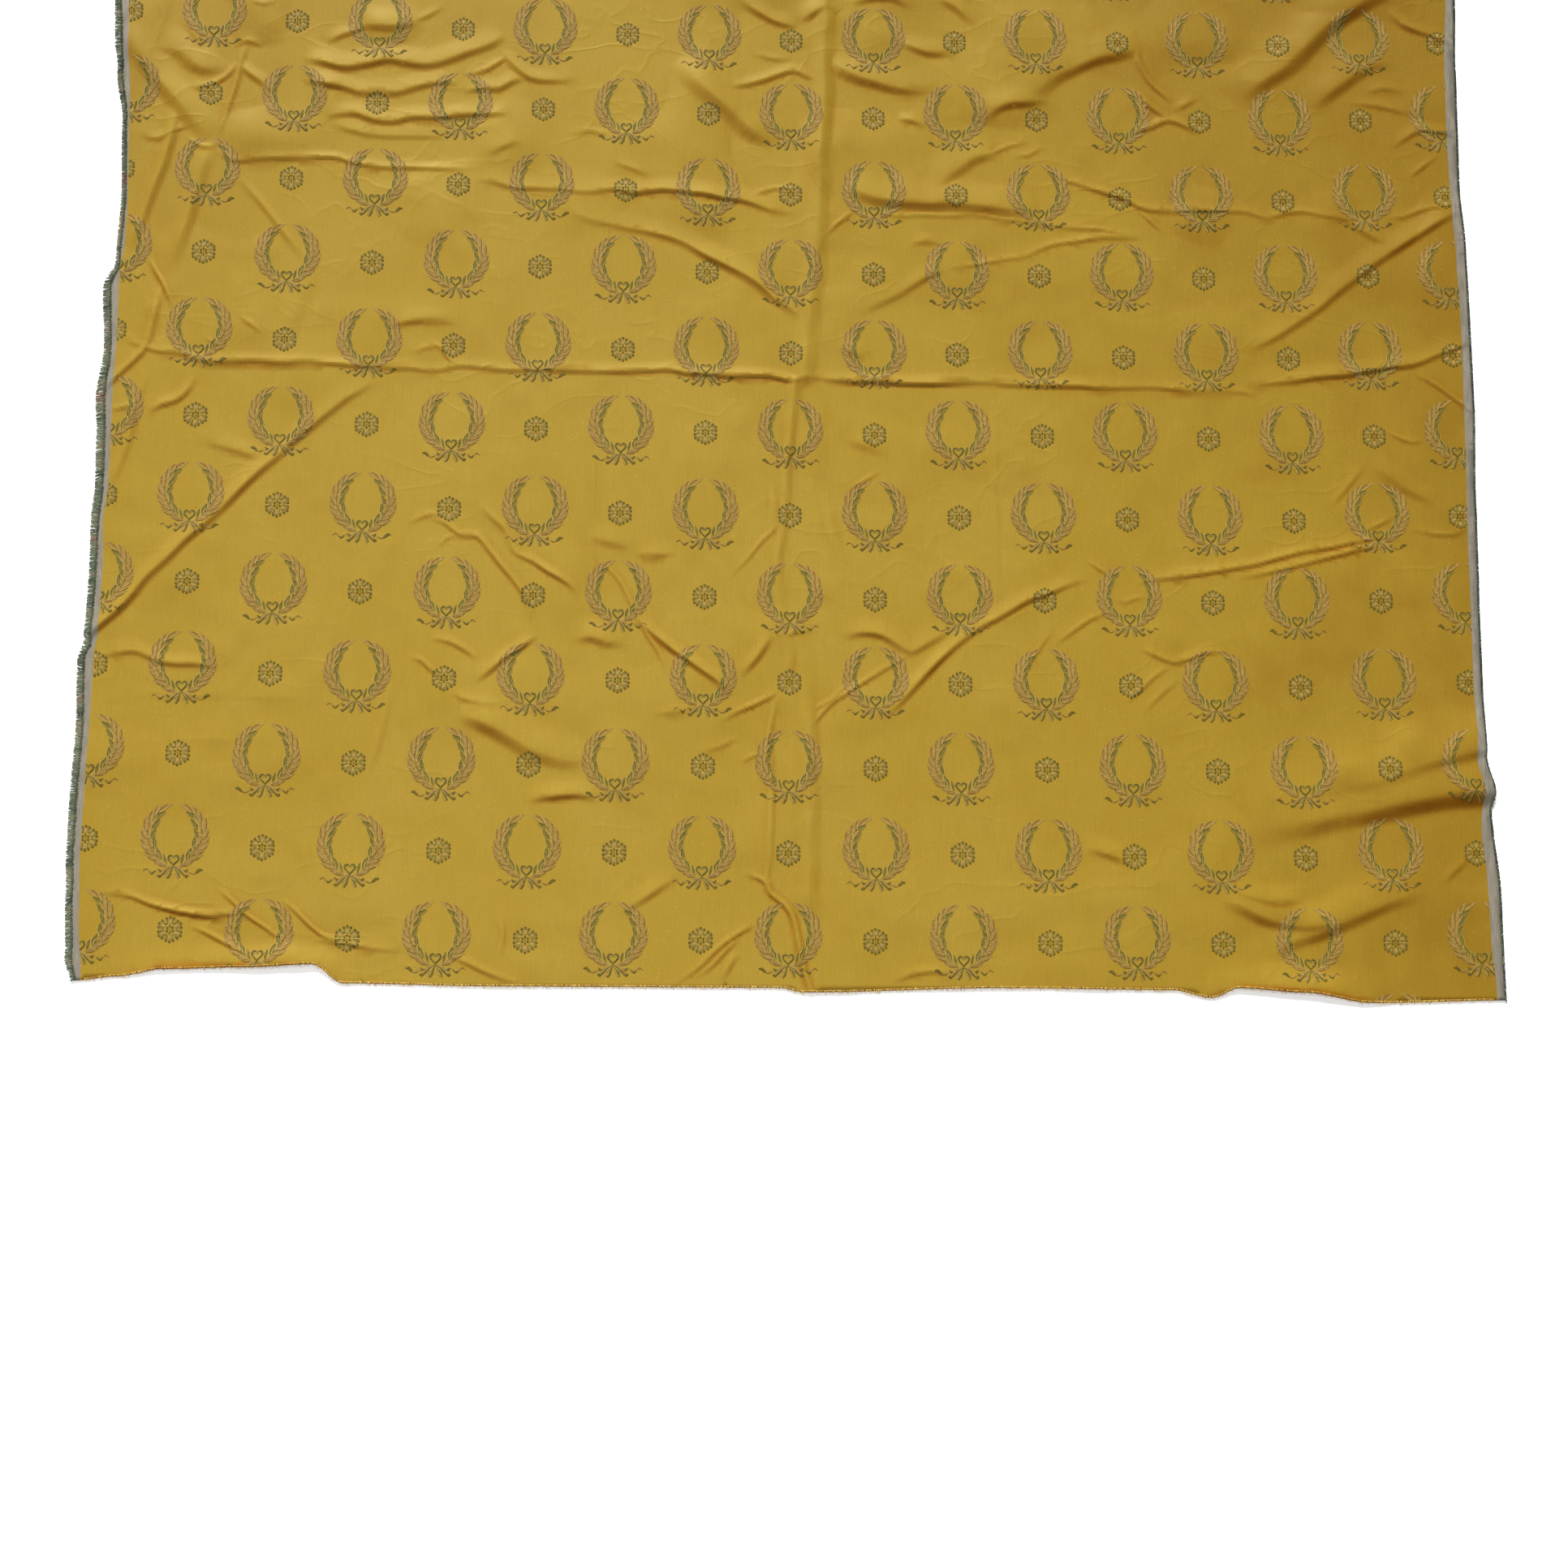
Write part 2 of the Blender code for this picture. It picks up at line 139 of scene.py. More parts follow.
creaseRows = [
    # the crease across the whole width
    Crease(15, 1.0, [(-645, 630, 0), (-612, 618, 2.4), (-590, 616, 2.2), (-565, 608, 3.2), (-540, 608, 3.8),
        (-500, 607, 3.6), (-460, 607, 3.4), (-430, 606, 3.4), (-400, 604, 3), (-370, 603, 2.8),
        (-345, 602, 2.4), (-320, 606, 2.6), (-290, 604, 3), (-250, 604, 3.4), (-200, 603, 3.6),
        (-150, 605, 4.2), (-120, 607, 4), (-100, 603, 4.2), (-60, 601, 5), (-20, 601, 5.2), (0, 597, 5),
        (15, 600, 4), (32, 600, 0)]),
    Crease(17, 1.0, [(20, 600, 0), (45, 598, 3.6), (80, 597, 4.8), (110, 596, 4.8), (150, 597, 4.2),
        (185, 598, 2.4), (215, 596, 3.6), (260, 595, 4.2), (300, 595, 3.6), (350, 595, 2.8),
        (375, 593, 3.2), (395, 592, 1.6), (420, 594, 1.2), (440, 593, 1.6), (452, 590, 0)]),
    Crease(19, 0.8, [(430, 601, 0), (470, 603, 2.2), (505, 608, 3.6), (540, 612, 4), (575, 618, 3.6),
        (600, 622, 4), (625, 630, 4), (660, 644, 2)]),
    # the upper crease
    Crease(13, 1.0, [(-567, 826, 0), (-548, 811, 2), (-520, 814, 2.8), (-485, 816, 3), (-450, 818, 3.6),
        (-430, 812, 3.6), (-400, 809, 3.2), (-370, 809, 3.4), (-340, 808, 2.6), (-320, 809, 0)]),
    Crease(22, 1.0, [(-312, 798, 0), (-295, 796, 2.4), (-275, 790, 3.4), (-250, 789, 2.4), (-225, 788, 2),
        (-200, 787, 1.8), (-175, 790, 3), (-160, 786, 4.2), (-130, 790, 5.4), (-100, 787, 5.8),
        (-70, 782, 5.4), (-50, 781, 5), (-35, 777, 4.2), (-20, 771, 2.6), (5, 768, 0)]),
    Crease(8, 1.0, [(-48, 784, 0), (-30, 791, 1.8), (-12, 794, 1.6), (8, 792, 0)]),
    Crease(28, 0.3, [(52, 796, 0), (68, 789, 3.2), (90, 784, 4.4), (120, 782, 4.4), (160, 781, 4),
        (200, 778, 3.4), (240, 772, 0)]),
    Crease(7, 1.0, [(70, 771, 0), (100, 768, 1.6), (125, 769, 1.8), (150, 768, 2), (175, 770, 1.8),
        (200, 767, 1.8), (232, 763, 1.6), (260, 760, 1.8), (300, 757, 2), (346, 753, 0)]),
    Crease(12, 0.9, [(252, 813, 0), (275, 806, 2.2), (300, 797, 3.2), (325, 789, 3.2), (345, 781, 2.8),
        (370, 778, 2.6), (400, 778, 2.6), (430, 779, 2.2), (450, 778, 2), (468, 773, 1.6), (485, 777, 2.2),
        (505, 779, 2.2), (525, 775, 2), (545, 772, 2), (560, 768, 0)]),
    Crease(10, 1.0, [(588, 774, 0), (602, 776, 2.2), (620, 783, 2.6), (640, 787, 2.6), (664, 790, 2)]),
    Crease(14, 0.5, [(546, 772, 0), (565, 760, 2), (580, 750, 1.8), (598, 742, 0)]),
    Crease(10, 1.0, [(222, 727, 0), (240, 734, 2.2), (262, 742, 2.8), (295, 747, 2.8), (325, 749, 2.2),
        (345, 749, 0)]),
    Crease(8, 1.0, [(150, 712, 0), (172, 717, 2.2), (196, 722, 2.2), (228, 728, 1.8), (240, 733, 0)]),
    Crease(14, 0.3, [(60, 664, 0), (95, 682, 1.6), (130, 705, 1.8), (150, 712, 0)]),
    # down the middle, and the flat pleat at its foot
    Crease(18, 0.25, [(32, 1020, 3.2), (30, 940, 3.4), (28, 880, 4.2), (25, 820, 3.6), (24, 770, 3.4),
        (20, 700, 3), (14, 650, 3), (12, 602, 3.4)]),
    Crease(12, 0.6, [(2, 597, 3.4), (0, 570, 2.2), (-4, 540, 2.8), (-7, 500, 2.8), (-8, 470, 2.2),
        (-12, 440, 1.8), (-15, 400, 1.8), (-10, 360, 1.4), (-2, 320, 1.6), (-8, 295, 0)]),
    Crease(7, 1.0, [(-64, 396, 0), (-40, 425, 1.8), (-18, 450, 1.8), (-12, 470, 0)]),
    Crease(8, 0.5, [(-24, 500, 0), (-18, 470, 1.4), (-22, 440, 0)]),
    Crease(10, 0.3, [(26, 490, 0), (36, 450, 1.2), (46, 405, 0)]),
    Crease(14, 0.2, [(20, 590, 0), (24, 540, 1), (22, 480, 0)]),
    Crease(9, 1.0, [(-12, 292, 0), (-19, 262, 2.4), (-22, 235, 3), (-19, 200, 2.2), (-20, 160, 2.2),
        (-23, 120, 2), (-26, 100, 0)]),
    Crease(14, 0.2, [(10, 335, 0), (14, 280, 1.8), (16, 220, 2.2), (17, 160, 2.2), (17, 100, 1.8),
        (16, 55, 0)]),
    Crease(10, 1.0, [(-46, 117, 0), (-32, 113, 2.6), (-24, 108, 3.2), (-20, 98, 3.2), (-8, 88, 3.6),
        (0, 78, 3.6), (5, 62, 4.2), (8, 45, 4.2), (11, 28, 3.8), (18, 6, 3)]),
    Crease(10, 1.0, [(-112, 12, 0), (-92, 24, 1.6), (-75, 40, 2.6), (-60, 54, 3.2), (-45, 64, 3),
        (-34, 70, 0)]),
    Crease(7, 1.0, [(-90, 18, 0), (-72, 32, 2.2), (-58, 48, 2.4), (-50, 56, 0)]),
    Crease(8, 0.5, [(-66, 16, 0), (-56, 32, 1.6), (-50, 44, 0)]),
    Crease(9, 1.0, [(-68, 260, 0), (-50, 270, 2.4), (-36, 276, 3.2), (-22, 284, 2.6), (-15, 291, 0)]),
    Crease(7, 1.0, [(-48, 222, 0), (-38, 228, 1.8), (-28, 232, 0)]),
    Crease(7, 0.6, [(-90, 229, 0), (-68, 236, 1.2), (-50, 246, 0)]),
    Crease(12, 0.5, [(-50, 303, 0), (-38, 318, 2.4), (-28, 332, 2.4), (-20, 346, 0)]),
    Crease(7, 0.6, [(-18, 350, 0), (-8, 345, 1.2), (4, 348, 1.4), (20, 350, 0)]),
    # slants over the width
    Crease(24, 0.9, [(-228, 768, 0), (-200, 757, 1.6), (-165, 750, 2), (-140, 746, 3), (-118, 740, 4.4),
        (-95, 729, 5.4), (-75, 718, 5.8), (-55, 708, 5.4), (-35, 694, 4.8), (-18, 680, 4), (0, 668, 2.6),
        (8, 658, 0)]),
    Crease(18, 0.7, [(-396, 597, 0), (-425, 575, 2), (-450, 554, 3), (-475, 532, 3.4), (-500, 508, 4),
        (-525, 482, 4), (-550, 455, 4), (-580, 425, 4), (-610, 392, 4.2), (-635, 362, 4.6),
        (-660, 338, 4)]),
    Crease(9, 1.0, [(8, 246, 0), (22, 262, 2.2), (38, 280, 3), (52, 290, 3.2), (66, 300, 3), (85, 312, 2.6),
        (100, 320, 1.6), (112, 330, 0)]),
    Crease(7, 1.0, [(16, 272, 0), (30, 278, 2.2), (45, 292, 1.8), (55, 303, 0)]),
    Crease(17, 0.8, [(86, 266, 0), (105, 285, 2.6), (122, 303, 4), (140, 322, 4.4), (160, 340, 4),
        (180, 355, 3.4), (200, 366, 3.2), (225, 380, 3.4), (245, 388, 3.4), (262, 396, 2), (282, 402, 0)]),
    Crease(15, 1.0, [(328, 399, 0), (352, 403, 2.4), (380, 407, 3.8), (410, 412, 4.2), (440, 419, 3.8),
        (470, 427, 3.4), (500, 434, 4), (530, 440, 3.4), (560, 446, 1.6), (592, 450, 0)]),
    Crease(12, 1.0, [(425, 404, 0), (455, 411, 2.2), (490, 419, 3), (520, 428, 3.6), (548, 436, 2.6),
        (572, 439, 0)]),
    Crease(16, 0.5, [(46, 344, 0), (65, 349, 2.4), (85, 346, 3.2), (100, 337, 2.8), (112, 330, 2),
        (122, 335, 2.4), (135, 343, 2), (150, 352, 0)]),
    Crease(7, 1.0, [(222, 306, 0), (230, 325, 1.6), (240, 342, 1.8), (248, 352, 0)]),
    Crease(9, 1.0, [(248, 336, 0), (268, 352, 2.4), (285, 364, 2.6), (306, 374, 0)]),
    Crease(8, 1.0, [(282, 422, 0), (295, 412, 2.2), (305, 407, 0)]),
    Crease(12, 0.9, [(332, 335, 0), (345, 329, 2.4), (362, 323, 2.8), (380, 327, 3.2), (395, 332, 2.8),
        (414, 333, 0)]),
    Crease(8, 0.8, [(316, 282, 0), (332, 296, 1.6), (346, 308, 1.6), (363, 321, 0)]),
    Crease(8, 0.8, [(334, 274, 0), (346, 286, 1.4), (358, 296, 1.2), (368, 306, 0)]),
    Crease(6, 1.0, [(304, 384, 0), (318, 381, 1.6), (328, 385, 1.8), (341, 384, 0)]),
    Crease(21, 0.6, [(658, 784, 1), (635, 768, 4), (615, 755, 5), (595, 742, 4.8), (575, 728, 4.2),
        (550, 708, 4), (525, 688, 3.4), (500, 668, 2.8), (470, 648, 2), (440, 630, 0)]),
    # pinches left of the middle
    Crease(11, 0.9, [(-350, 455, 0), (-330, 450, 1.8), (-318, 440, 2.4), (-300, 438, 2.6), (-290, 425, 3),
        (-276, 408, 3.2), (-262, 392, 3), (-250, 374, 2.8), (-246, 354, 0)]),
    Crease(12, 0.9, [(-298, 470, 0), (-286, 455, 2.4), (-274, 444, 1.8), (-268, 430, 1.6), (-262, 420, 2.2),
        (-245, 412, 3.4), (-232, 402, 3.4), (-215, 392, 2.4), (-203, 383, 0)]),
    Crease(8, 0.9, [(-368, 449, 0), (-352, 456, 1.6), (-340, 458, 1.4), (-325, 452, 0)]),
    Crease(6, 0.9, [(-339, 425, 0), (-330, 436, 1.6), (-318, 440, 0)]),
    Crease(9, 0.9, [(-361, 318, 0), (-350, 316, 2.2), (-340, 308, 2.6), (-328, 300, 0)]),
    Crease(10, 0.7, [(-343, 338, 0), (-325, 335, 2), (-310, 328, 2.2), (-296, 318, 0)]),
    Crease(14, 0.8, [(-301, 295, 0), (-285, 308, 2.8), (-270, 320, 3.6), (-255, 332, 3), (-241, 343, 0)]),
    Crease(12, 0.7, [(-319, 285, 0), (-305, 279, 2.4), (-288, 276, 2.4), (-262, 275, 0)]),
    Crease(28, 0.2, [(-314, 265, 0), (-295, 259, 3.2), (-275, 250, 4.2), (-255, 240, 4.4), (-235, 228, 3.8),
        (-215, 222, 2.2), (-190, 222, 0)]),
    Crease(15, 0.3, [(-247, 185, 0), (-225, 188, 2.6), (-200, 190, 2.8), (-180, 187, 0)]),
    Crease(8, 1.0, [(-183, 416, 0), (-170, 402, 1.8), (-158, 385, 2.4), (-148, 366, 2.6), (-138, 345, 2.4),
        (-128, 328, 2.2), (-117, 306, 0)]),
    Crease(16, 0.9, [(-152, 364, 0), (-135, 348, 3.6), (-118, 333, 4.6), (-100, 320, 4.6), (-85, 309, 4.4),
        (-70, 298, 3.8), (-60, 284, 0)]),
    Crease(18, 0.2, [(-212, 338, 0), (-190, 341, 2.6), (-175, 336, 2), (-158, 337, 0)]),
    Crease(18, 0.2, [(-198, 441, 0), (-175, 434, 1.8), (-150, 430, 0)]),
    Crease(12, 0.4, [(-152, 424, 0), (-132, 420, 1.8), (-110, 424, 0)]),
    Crease(8, 0.6, [(-134, 267, 0), (-112, 270, 1.2), (-92, 270, 0)]),
    Crease(14, 0.4, [(-162, 77, 0), (-130, 98, 1.8), (-98, 121, 0)]),
    # the rumpled band below the top end
    Crease(18, 0.35, [(-484, 921, 0), (-462, 916, 3.6), (-440, 913, 4.2), (-420, 916, 3.8),
        (-400, 920, 3.2), (-380, 917, 3.6), (-360, 916, 3.2), (-340, 922, 3.2), (-320, 931, 3.2),
        (-300, 940, 2.4), (-287, 951, 0)]),
    Crease(15, 0.4, [(-484, 898, 0), (-462, 893, 3.4), (-445, 892, 3.6), (-430, 887, 3.2), (-412, 886, 3.2),
        (-392, 886, 3.2), (-374, 892, 3.2), (-352, 898, 2.2), (-329, 898, 0)]),
    Crease(14, 0.4, [(-461, 860, 0), (-442, 863, 2.6), (-428, 864, 3.4), (-412, 858, 3.6), (-395, 856, 3.4),
        (-375, 861, 3.4), (-350, 862, 3), (-325, 864, 3), (-300, 866, 2.4), (-280, 868, 0)]),
    Crease(12, 0.3, [(-456, 852, 0), (-435, 847, 1.6), (-410, 842, 1.4), (-360, 842, 1.2),
        (-340, 845, 0)]),
    Crease(9, 0.8, [(-327, 906, 0), (-308, 911, 2.6), (-294, 919, 3), (-280, 928, 0)]),
    Crease(14, 0.5, [(-291, 933, 0), (-278, 920, 2.4), (-268, 910, 3), (-258, 904, 2.8), (-240, 903, 2),
        (-214, 905, 0)]),
    Crease(14, 0.5, [(-327, 889, 0), (-308, 893, 2.8), (-292, 893, 3), (-280, 899, 3), (-265, 905, 0)]),
    Crease(12, 0.5, [(-463, 938, 0), (-446, 945, 2.4), (-430, 951, 2.2), (-414, 959, 0)]),
    Crease(12, 0.3, [(-302, 821, 0), (-285, 832, 1.6), (-268, 839, 0)]),
    Crease(18, 0.1, [(-441, 958, 0), (-415, 956, 2.4), (-390, 957, 2), (-370, 962, 0)]),
    Crease(9, 0.5, [(-387, 959, 0), (-365, 968, 1.4), (-347, 979, 0)]),
    Crease(7, 0.8, [(-541, 980, 0), (-525, 976, 1.6), (-511, 980, 0)]),
    # the star at the upper left, and the gathers below it
    Crease(9, 0.8, [(-568, 830, 0), (-556, 862, 1.6), (-548, 890, 2.4), (-544, 918, 2), (-540, 936, 0)]),
    Crease(9, 0.9, [(-596, 888, 0), (-580, 888, 1.8), (-566, 894, 2.8), (-554, 904, 2.6), (-546, 917, 0)]),
    Crease(11, 0.5, [(-547, 915, 0), (-534, 903, 2.4), (-522, 893, 2), (-513, 883, 0)]),
    Crease(8, 0.7, [(-553, 930, 0), (-538, 936, 2), (-523, 932, 0)]),
    Crease(22, 0.2, [(-664, 948, 1), (-640, 918, 3.4), (-620, 893, 3.6), (-602, 872, 3.4), (-588, 855, 2.8),
        (-568, 836, 0)]),
    Crease(14, 0.5, [(-605, 874, 0), (-606, 850, 2.6), (-614, 815, 3.4), (-624, 780, 3.2), (-634, 745, 2.4),
        (-641, 720, 0)]),
    Crease(16, 0.3, [(-568, 830, 0), (-578, 800, 2.2), (-586, 765, 2.6), (-594, 730, 2.4),
        (-605, 693, 0)]),
    Crease(10, 0.6, [(-642, 838, 0), (-622, 834, 1.8), (-606, 843, 2.4), (-590, 849, 0)]),
    Crease(8, 1.0, [(-593, 837, 0), (-584, 830, 1.8), (-572, 826, 2.4), (-559, 831, 0)]),
    Crease(9, 0.4, [(-546, 801, 0), (-520, 770, 1.2), (-495, 740, 1.2), (-473, 711, 0)]),
    Crease(22, 0.1, [(-627, 930, 0), (-605, 925, 2.6), (-588, 912, 3.2), (-574, 908, 2), (-558, 912, 0)]),
    Crease(14, 0.3, [(-601, 962, 0), (-590, 940, 1.8), (-582, 923, 0)]),
    Crease(9, 1.0, [(-624, 714, 0), (-614, 694, 3.2), (-606, 678, 3.4), (-597, 660, 0)]),
    Crease(11, 0.8, [(-611, 688, 0), (-614, 664, 2.4), (-618, 640, 2.8), (-622, 622, 2.4), (-632, 608, 3),
        (-646, 594, 3), (-664, 572, 2)]),
    Crease(10, 0.5, [(-616, 555, 0), (-604, 563, 2), (-592, 567, 2.4), (-582, 576, 2), (-573, 594, 0)]),
    Crease(8, 0.8, [(-653, 556, 0), (-640, 560, 1.8), (-624, 566, 0)]),
    Crease(10, 0.4, [(-651, 478, 0), (-636, 520, 1.8), (-628, 560, 1.4), (-621, 602, 0)]),
    Crease(14, 0.3, [(-568, 528, 0), (-545, 524, 1.4), (-520, 516, 1.2), (-499, 508, 0)]),
    Crease(18, 0.1, [(-469, 707, 0), (-478, 670, 1.4), (-491, 628, 0)]),
    Crease(9, 0.8, [(-536, 656, 0), (-524, 646, 1.6), (-511, 635, 0)]),
    Crease(8, 0.9, [(-367, 617, 0), (-356, 624, 1.8), (-344, 627, 2), (-336, 619, 2.2), (-328, 610, 1.8),
        (-317, 608, 0)]),
    Crease(14, 0.4, [(-393, 645, 0), (-370, 650, 2), (-345, 652, 1.8), (-324, 648, 0)]),
    Crease(6, 1.0, [(-567, 633, 0), (-556, 626, 1.8), (-547, 620, 0)]),
    Crease(12, 0.5, [(-650, 318, 0), (-630, 322, 2.2), (-612, 321, 2.2), (-596, 314, 2.4), (-578, 311, 2.4),
        (-560, 311, 2), (-539, 308, 0)]),
    Crease(9, 0.4, [(-375, 302, 0), (-385, 250, 1), (-399, 197, 0)]),
    # right of the middle, below the top end
    Crease(22, 0.25, [(35, 936, 0), (48, 920, 3.2), (62, 913, 4), (80, 907, 4), (98, 902, 3.4),
        (120, 900, 2), (146, 902, 0)]),
    Crease(26, 0.1, [(-116, 930, 0), (-95, 905, 3), (-75, 885, 3.6), (-55, 868, 3.8), (-38, 852, 3.2),
        (-18, 842, 0)]),
    Crease(11, 0.6, [(-77, 900, 0), (-52, 901, 1.8), (-32, 906, 2.6), (-15, 914, 2.8), (0, 918, 2.4),
        (12, 913, 2), (25, 908, 0)]),
    Crease(7, 1.0, [(13, 904, 0), (22, 912, 2.2), (30, 920, 1.8), (39, 932, 0)]),
    Crease(14, 0.4, [(-54, 994, 0), (-40, 982, 2.4), (-25, 973, 3.2), (-10, 968, 2.6), (3, 966, 0)]),
    Crease(16, 0.3, [(3, 971, 0), (18, 980, 2.6), (32, 986, 2.8), (45, 982, 0)]),
    Crease(8, 0.5, [(-42, 936, 0), (-20, 930, 1.4), (-4, 931, 0)]),
    Crease(16, 0.3, [(103, 951, 0), (120, 945, 2.6), (140, 940, 2.6), (162, 941, 0)]),
    Crease(14, 0.3, [(57, 990, 0), (78, 996, 2.4), (98, 996, 2.2), (117, 987, 0)]),
    Crease(14, 0.3, [(141, 999, 0), (158, 990, 2.4), (172, 980, 2), (183, 969, 0)]),
    Crease(20, 0.2, [(184, 866, 0), (200, 880, 2.8), (218, 888, 3.4), (235, 890, 2.4), (252, 894, 0)]),
    Crease(22, 0.1, [(128, 788, 0), (150, 808, 2.4), (170, 824, 3), (188, 832, 2), (201, 836, 0)]),
    Crease(7, 1.0, [(167, 843, 0), (178, 834, 2.2), (188, 832, 2.6), (200, 836, 2.2), (216, 843, 1.8),
        (233, 848, 0)]),
    Crease(8, 0.9, [(217, 831, 0), (232, 833, 2.2), (246, 843, 0)]),
    Crease(10, 0.3, [(103, 868, 0), (116, 867, 2), (131, 862, 0)]),
    Crease(7, 1.0, [(29, 743, 0), (40, 755, 2.6), (50, 764, 2.6), (59, 773, 0)]),
    Crease(8, 0.5, [(20, 802, 0), (28, 775, 1.8), (24, 751, 0)]),
    Crease(10, 0.3, [(114, 738, 0), (130, 741, 1.6), (146, 738, 0)]),
    Crease(8, 0.9, [(-221, 848, 0), (-200, 850, 1.8), (-179, 846, 0)]),
    Crease(10, 0.5, [(-181, 820, 0), (-160, 812, 1.4), (-139, 803, 0)]),
    Crease(14, 0.2, [(44, 641, 0), (55, 628, 1.8), (71, 621, 0)]),
    Crease(18, 0.1, [(49, 541, 0), (70, 534, 1.6), (91, 525, 0)]),
    Crease(7, 1.0, [(53, 487, 0), (68, 497, 2.4), (85, 507, 0)]),
    # the upper right
    Crease(26, 0.15, [(226, 888, 0), (250, 910, 3), (275, 925, 3.6), (300, 936, 4), (325, 944, 3),
        (346, 949, 0)]),
    Crease(9, 0.8, [(342, 953, 0), (343, 935, 2.4), (350, 918, 2.8), (362, 905, 2.6), (379, 891, 0)]),
    Crease(10, 0.8, [(331, 909, 0), (348, 893, 2.8), (362, 882, 3), (377, 871, 0)]),
    Crease(10, 0.7, [(337, 857, 0), (352, 864, 2.4), (372, 872, 2.8), (388, 868, 2.6), (405, 859, 0)]),
    Crease(9, 0.3, [(375, 883, 0), (390, 890, 1.4), (403, 899, 0)]),
    Crease(34, 0.15, [(438, 893, 0), (465, 915, 4), (490, 932, 5.2), (512, 955, 5.6), (535, 978, 5.8),
        (560, 996, 5.6), (592, 1014, 3.6)]),
    Crease(26, 0.2, [(513, 888, 0), (535, 905, 3.2), (555, 922, 3.8), (575, 935, 3), (602, 942, 0)]),
    Crease(13, 0.6, [(597, 996, 0), (612, 982, 2.8), (628, 974, 3), (645, 968, 2.6), (662, 961, 1)]),
    Crease(9, 0.5, [(551, 896, 0), (575, 894, 1.2), (600, 889, 1.4), (624, 884, 0)]),
    Crease(9, 0.4, [(571, 908, 0), (590, 911, 1.6), (614, 910, 0)]),
    Crease(12, 0.6, [(595, 849, 0), (612, 860, 2.4), (626, 868, 2.8), (645, 866, 2.4), (662, 861, 1)]),
    Crease(9, 0.9, [(611, 817, 0), (626, 830, 2.4), (643, 843, 0)]),
    Crease(7, 1.0, [(341, 779, 0), (352, 768, 2.2), (365, 754, 0)]),
    Crease(9, 1.0, [(609, 615, 0), (625, 605, 2.6), (642, 592, 3), (666, 574, 2)]),
    Crease(8, 1.0, [(577, 557, 0), (590, 549, 2.2), (603, 544, 2), (615, 546, 0)]),
    Crease(16, 0.3, [(564, 525, 0), (580, 508, 1.8), (600, 494, 2), (623, 483, 0)]),
    Crease(8, 0.9, [(549, 453, 0), (565, 460, 2), (586, 471, 0)]),
    Crease(8, 0.9, [(597, 457, 0), (618, 452, 1.6), (640, 452, 1.8), (658, 463, 0)]),
    Crease(8, 0.4, [(519, 477, 0), (538, 500, 1.2), (557, 523, 0)]),
    # big soft folds at the lower right corner
    Crease(42, 0.0, [(450, 186, 0), (485, 196, 2.8), (520, 203, 4.4), (560, 213, 5.6), (600, 226, 6.4),
        (635, 236, 6.6), (668, 243, 6.6)]),
    Crease(48, 0.0, [(430, 160, 0), (475, 169, 3.2), (520, 178, 5), (560, 186, 6), (600, 194, 6.8),
        (635, 200, 7.2), (668, 203, 7.2)]),
    Crease(16, 0.2, [(411, 107, 0), (428, 100, 2.4), (445, 95, 3.2), (462, 93, 3), (483, 96, 0)]),
    Crease(24, 0.1, [(404, 99, 0), (425, 88, 2.8), (450, 78, 3.8), (475, 72, 4), (500, 73, 3.8),
        (520, 80, 2.6), (541, 93, 0)]),
    Crease(28, 0.1, [(446, 47, 0), (475, 60, 2.4), (505, 70, 3.6), (535, 84, 3.8), (565, 96, 3),
        (602, 109, 0)]),
    Crease(14, 0.2, [(274, 141, 0), (290, 140, 2), (305, 136, 2.2), (321, 127, 0)]),
    Crease(9, 0.6, [(93, 17, 0), (112, 24, 1.8), (132, 27, 1.6), (151, 23, 0)]),
    Crease(10, 0.3, [(611, 111, 0), (625, 125, 1.2), (641, 141, 0)]),
    # tucks at the lower left corner
    Crease(11, 0.9, [(-642, 96, 0), (-612, 92, 2.4), (-585, 84, 3.6), (-560, 78, 4.4), (-535, 75, 4.6),
        (-510, 76, 1.5)]),
    Crease(9, 0.9, [(-553, 65, 0), (-540, 60, 2.4), (-522, 50, 3.4), (-504, 40, 4), (-486, 32, 4)]),
    Crease(8, 1.0, [(-529, 101, 0), (-514, 86, 2.6), (-500, 74, 3.2), (-482, 62, 2.6), (-461, 47, 0)]),
    Crease(8, 1.0, [(-473, 91, 0), (-456, 78, 2.6), (-442, 64, 3.2), (-430, 56, 3), (-414, 53, 2.4),
        (-394, 54, 0)]),
    Crease(9, 0.7, [(-442, 54, 0), (-415, 50, 1.8), (-385, 46, 1.6), (-350, 44, 0)]),
    Crease(7, 1.0, [(-272, 76, 0), (-268, 58, 2), (-269, 38, 0)]),
    Crease(9, 0.6, [(-320, 41, 0), (-300, 33, 1.6), (-280, 24, 1.6), (-255, 14, 1)]),
    # the cut end, where it stands off the surface
    Crease(20, 0.2, [(-612, 20, 0.6), (-570, 26, 2.6), (-530, 28, 3.6), (-488, 29, 4.2), (-460, 30, 5.2),
        (-438, 27, 5), (-416, 17, 2.4), (-400, 12, 0)]),
    Crease(22, 0.1, [(384, 8, 0), (412, 13, 3), (450, 13, 4.8), (490, 10, 4.8), (530, 5, 3), (556, 3, 0)]),
    # old press lines
    Crease(8, 1.0, [(-192, 600, 0.3), (-191, 480, 0.9), (-190, 360, 0.3)]),
    Crease(8, 1.0, [(196, 600, 0.3), (195, 480, 0.9), (194, 360, 0.3)]),
    Crease(8, 1.0, [(-640, 278, 0.2), (-550, 279, 0.8), (-470, 279, 0.2)]),
    Crease(8, 1.0, [(-640, 237, 0.2), (-560, 238, 0.7), (-480, 238, 0.2)]),
]

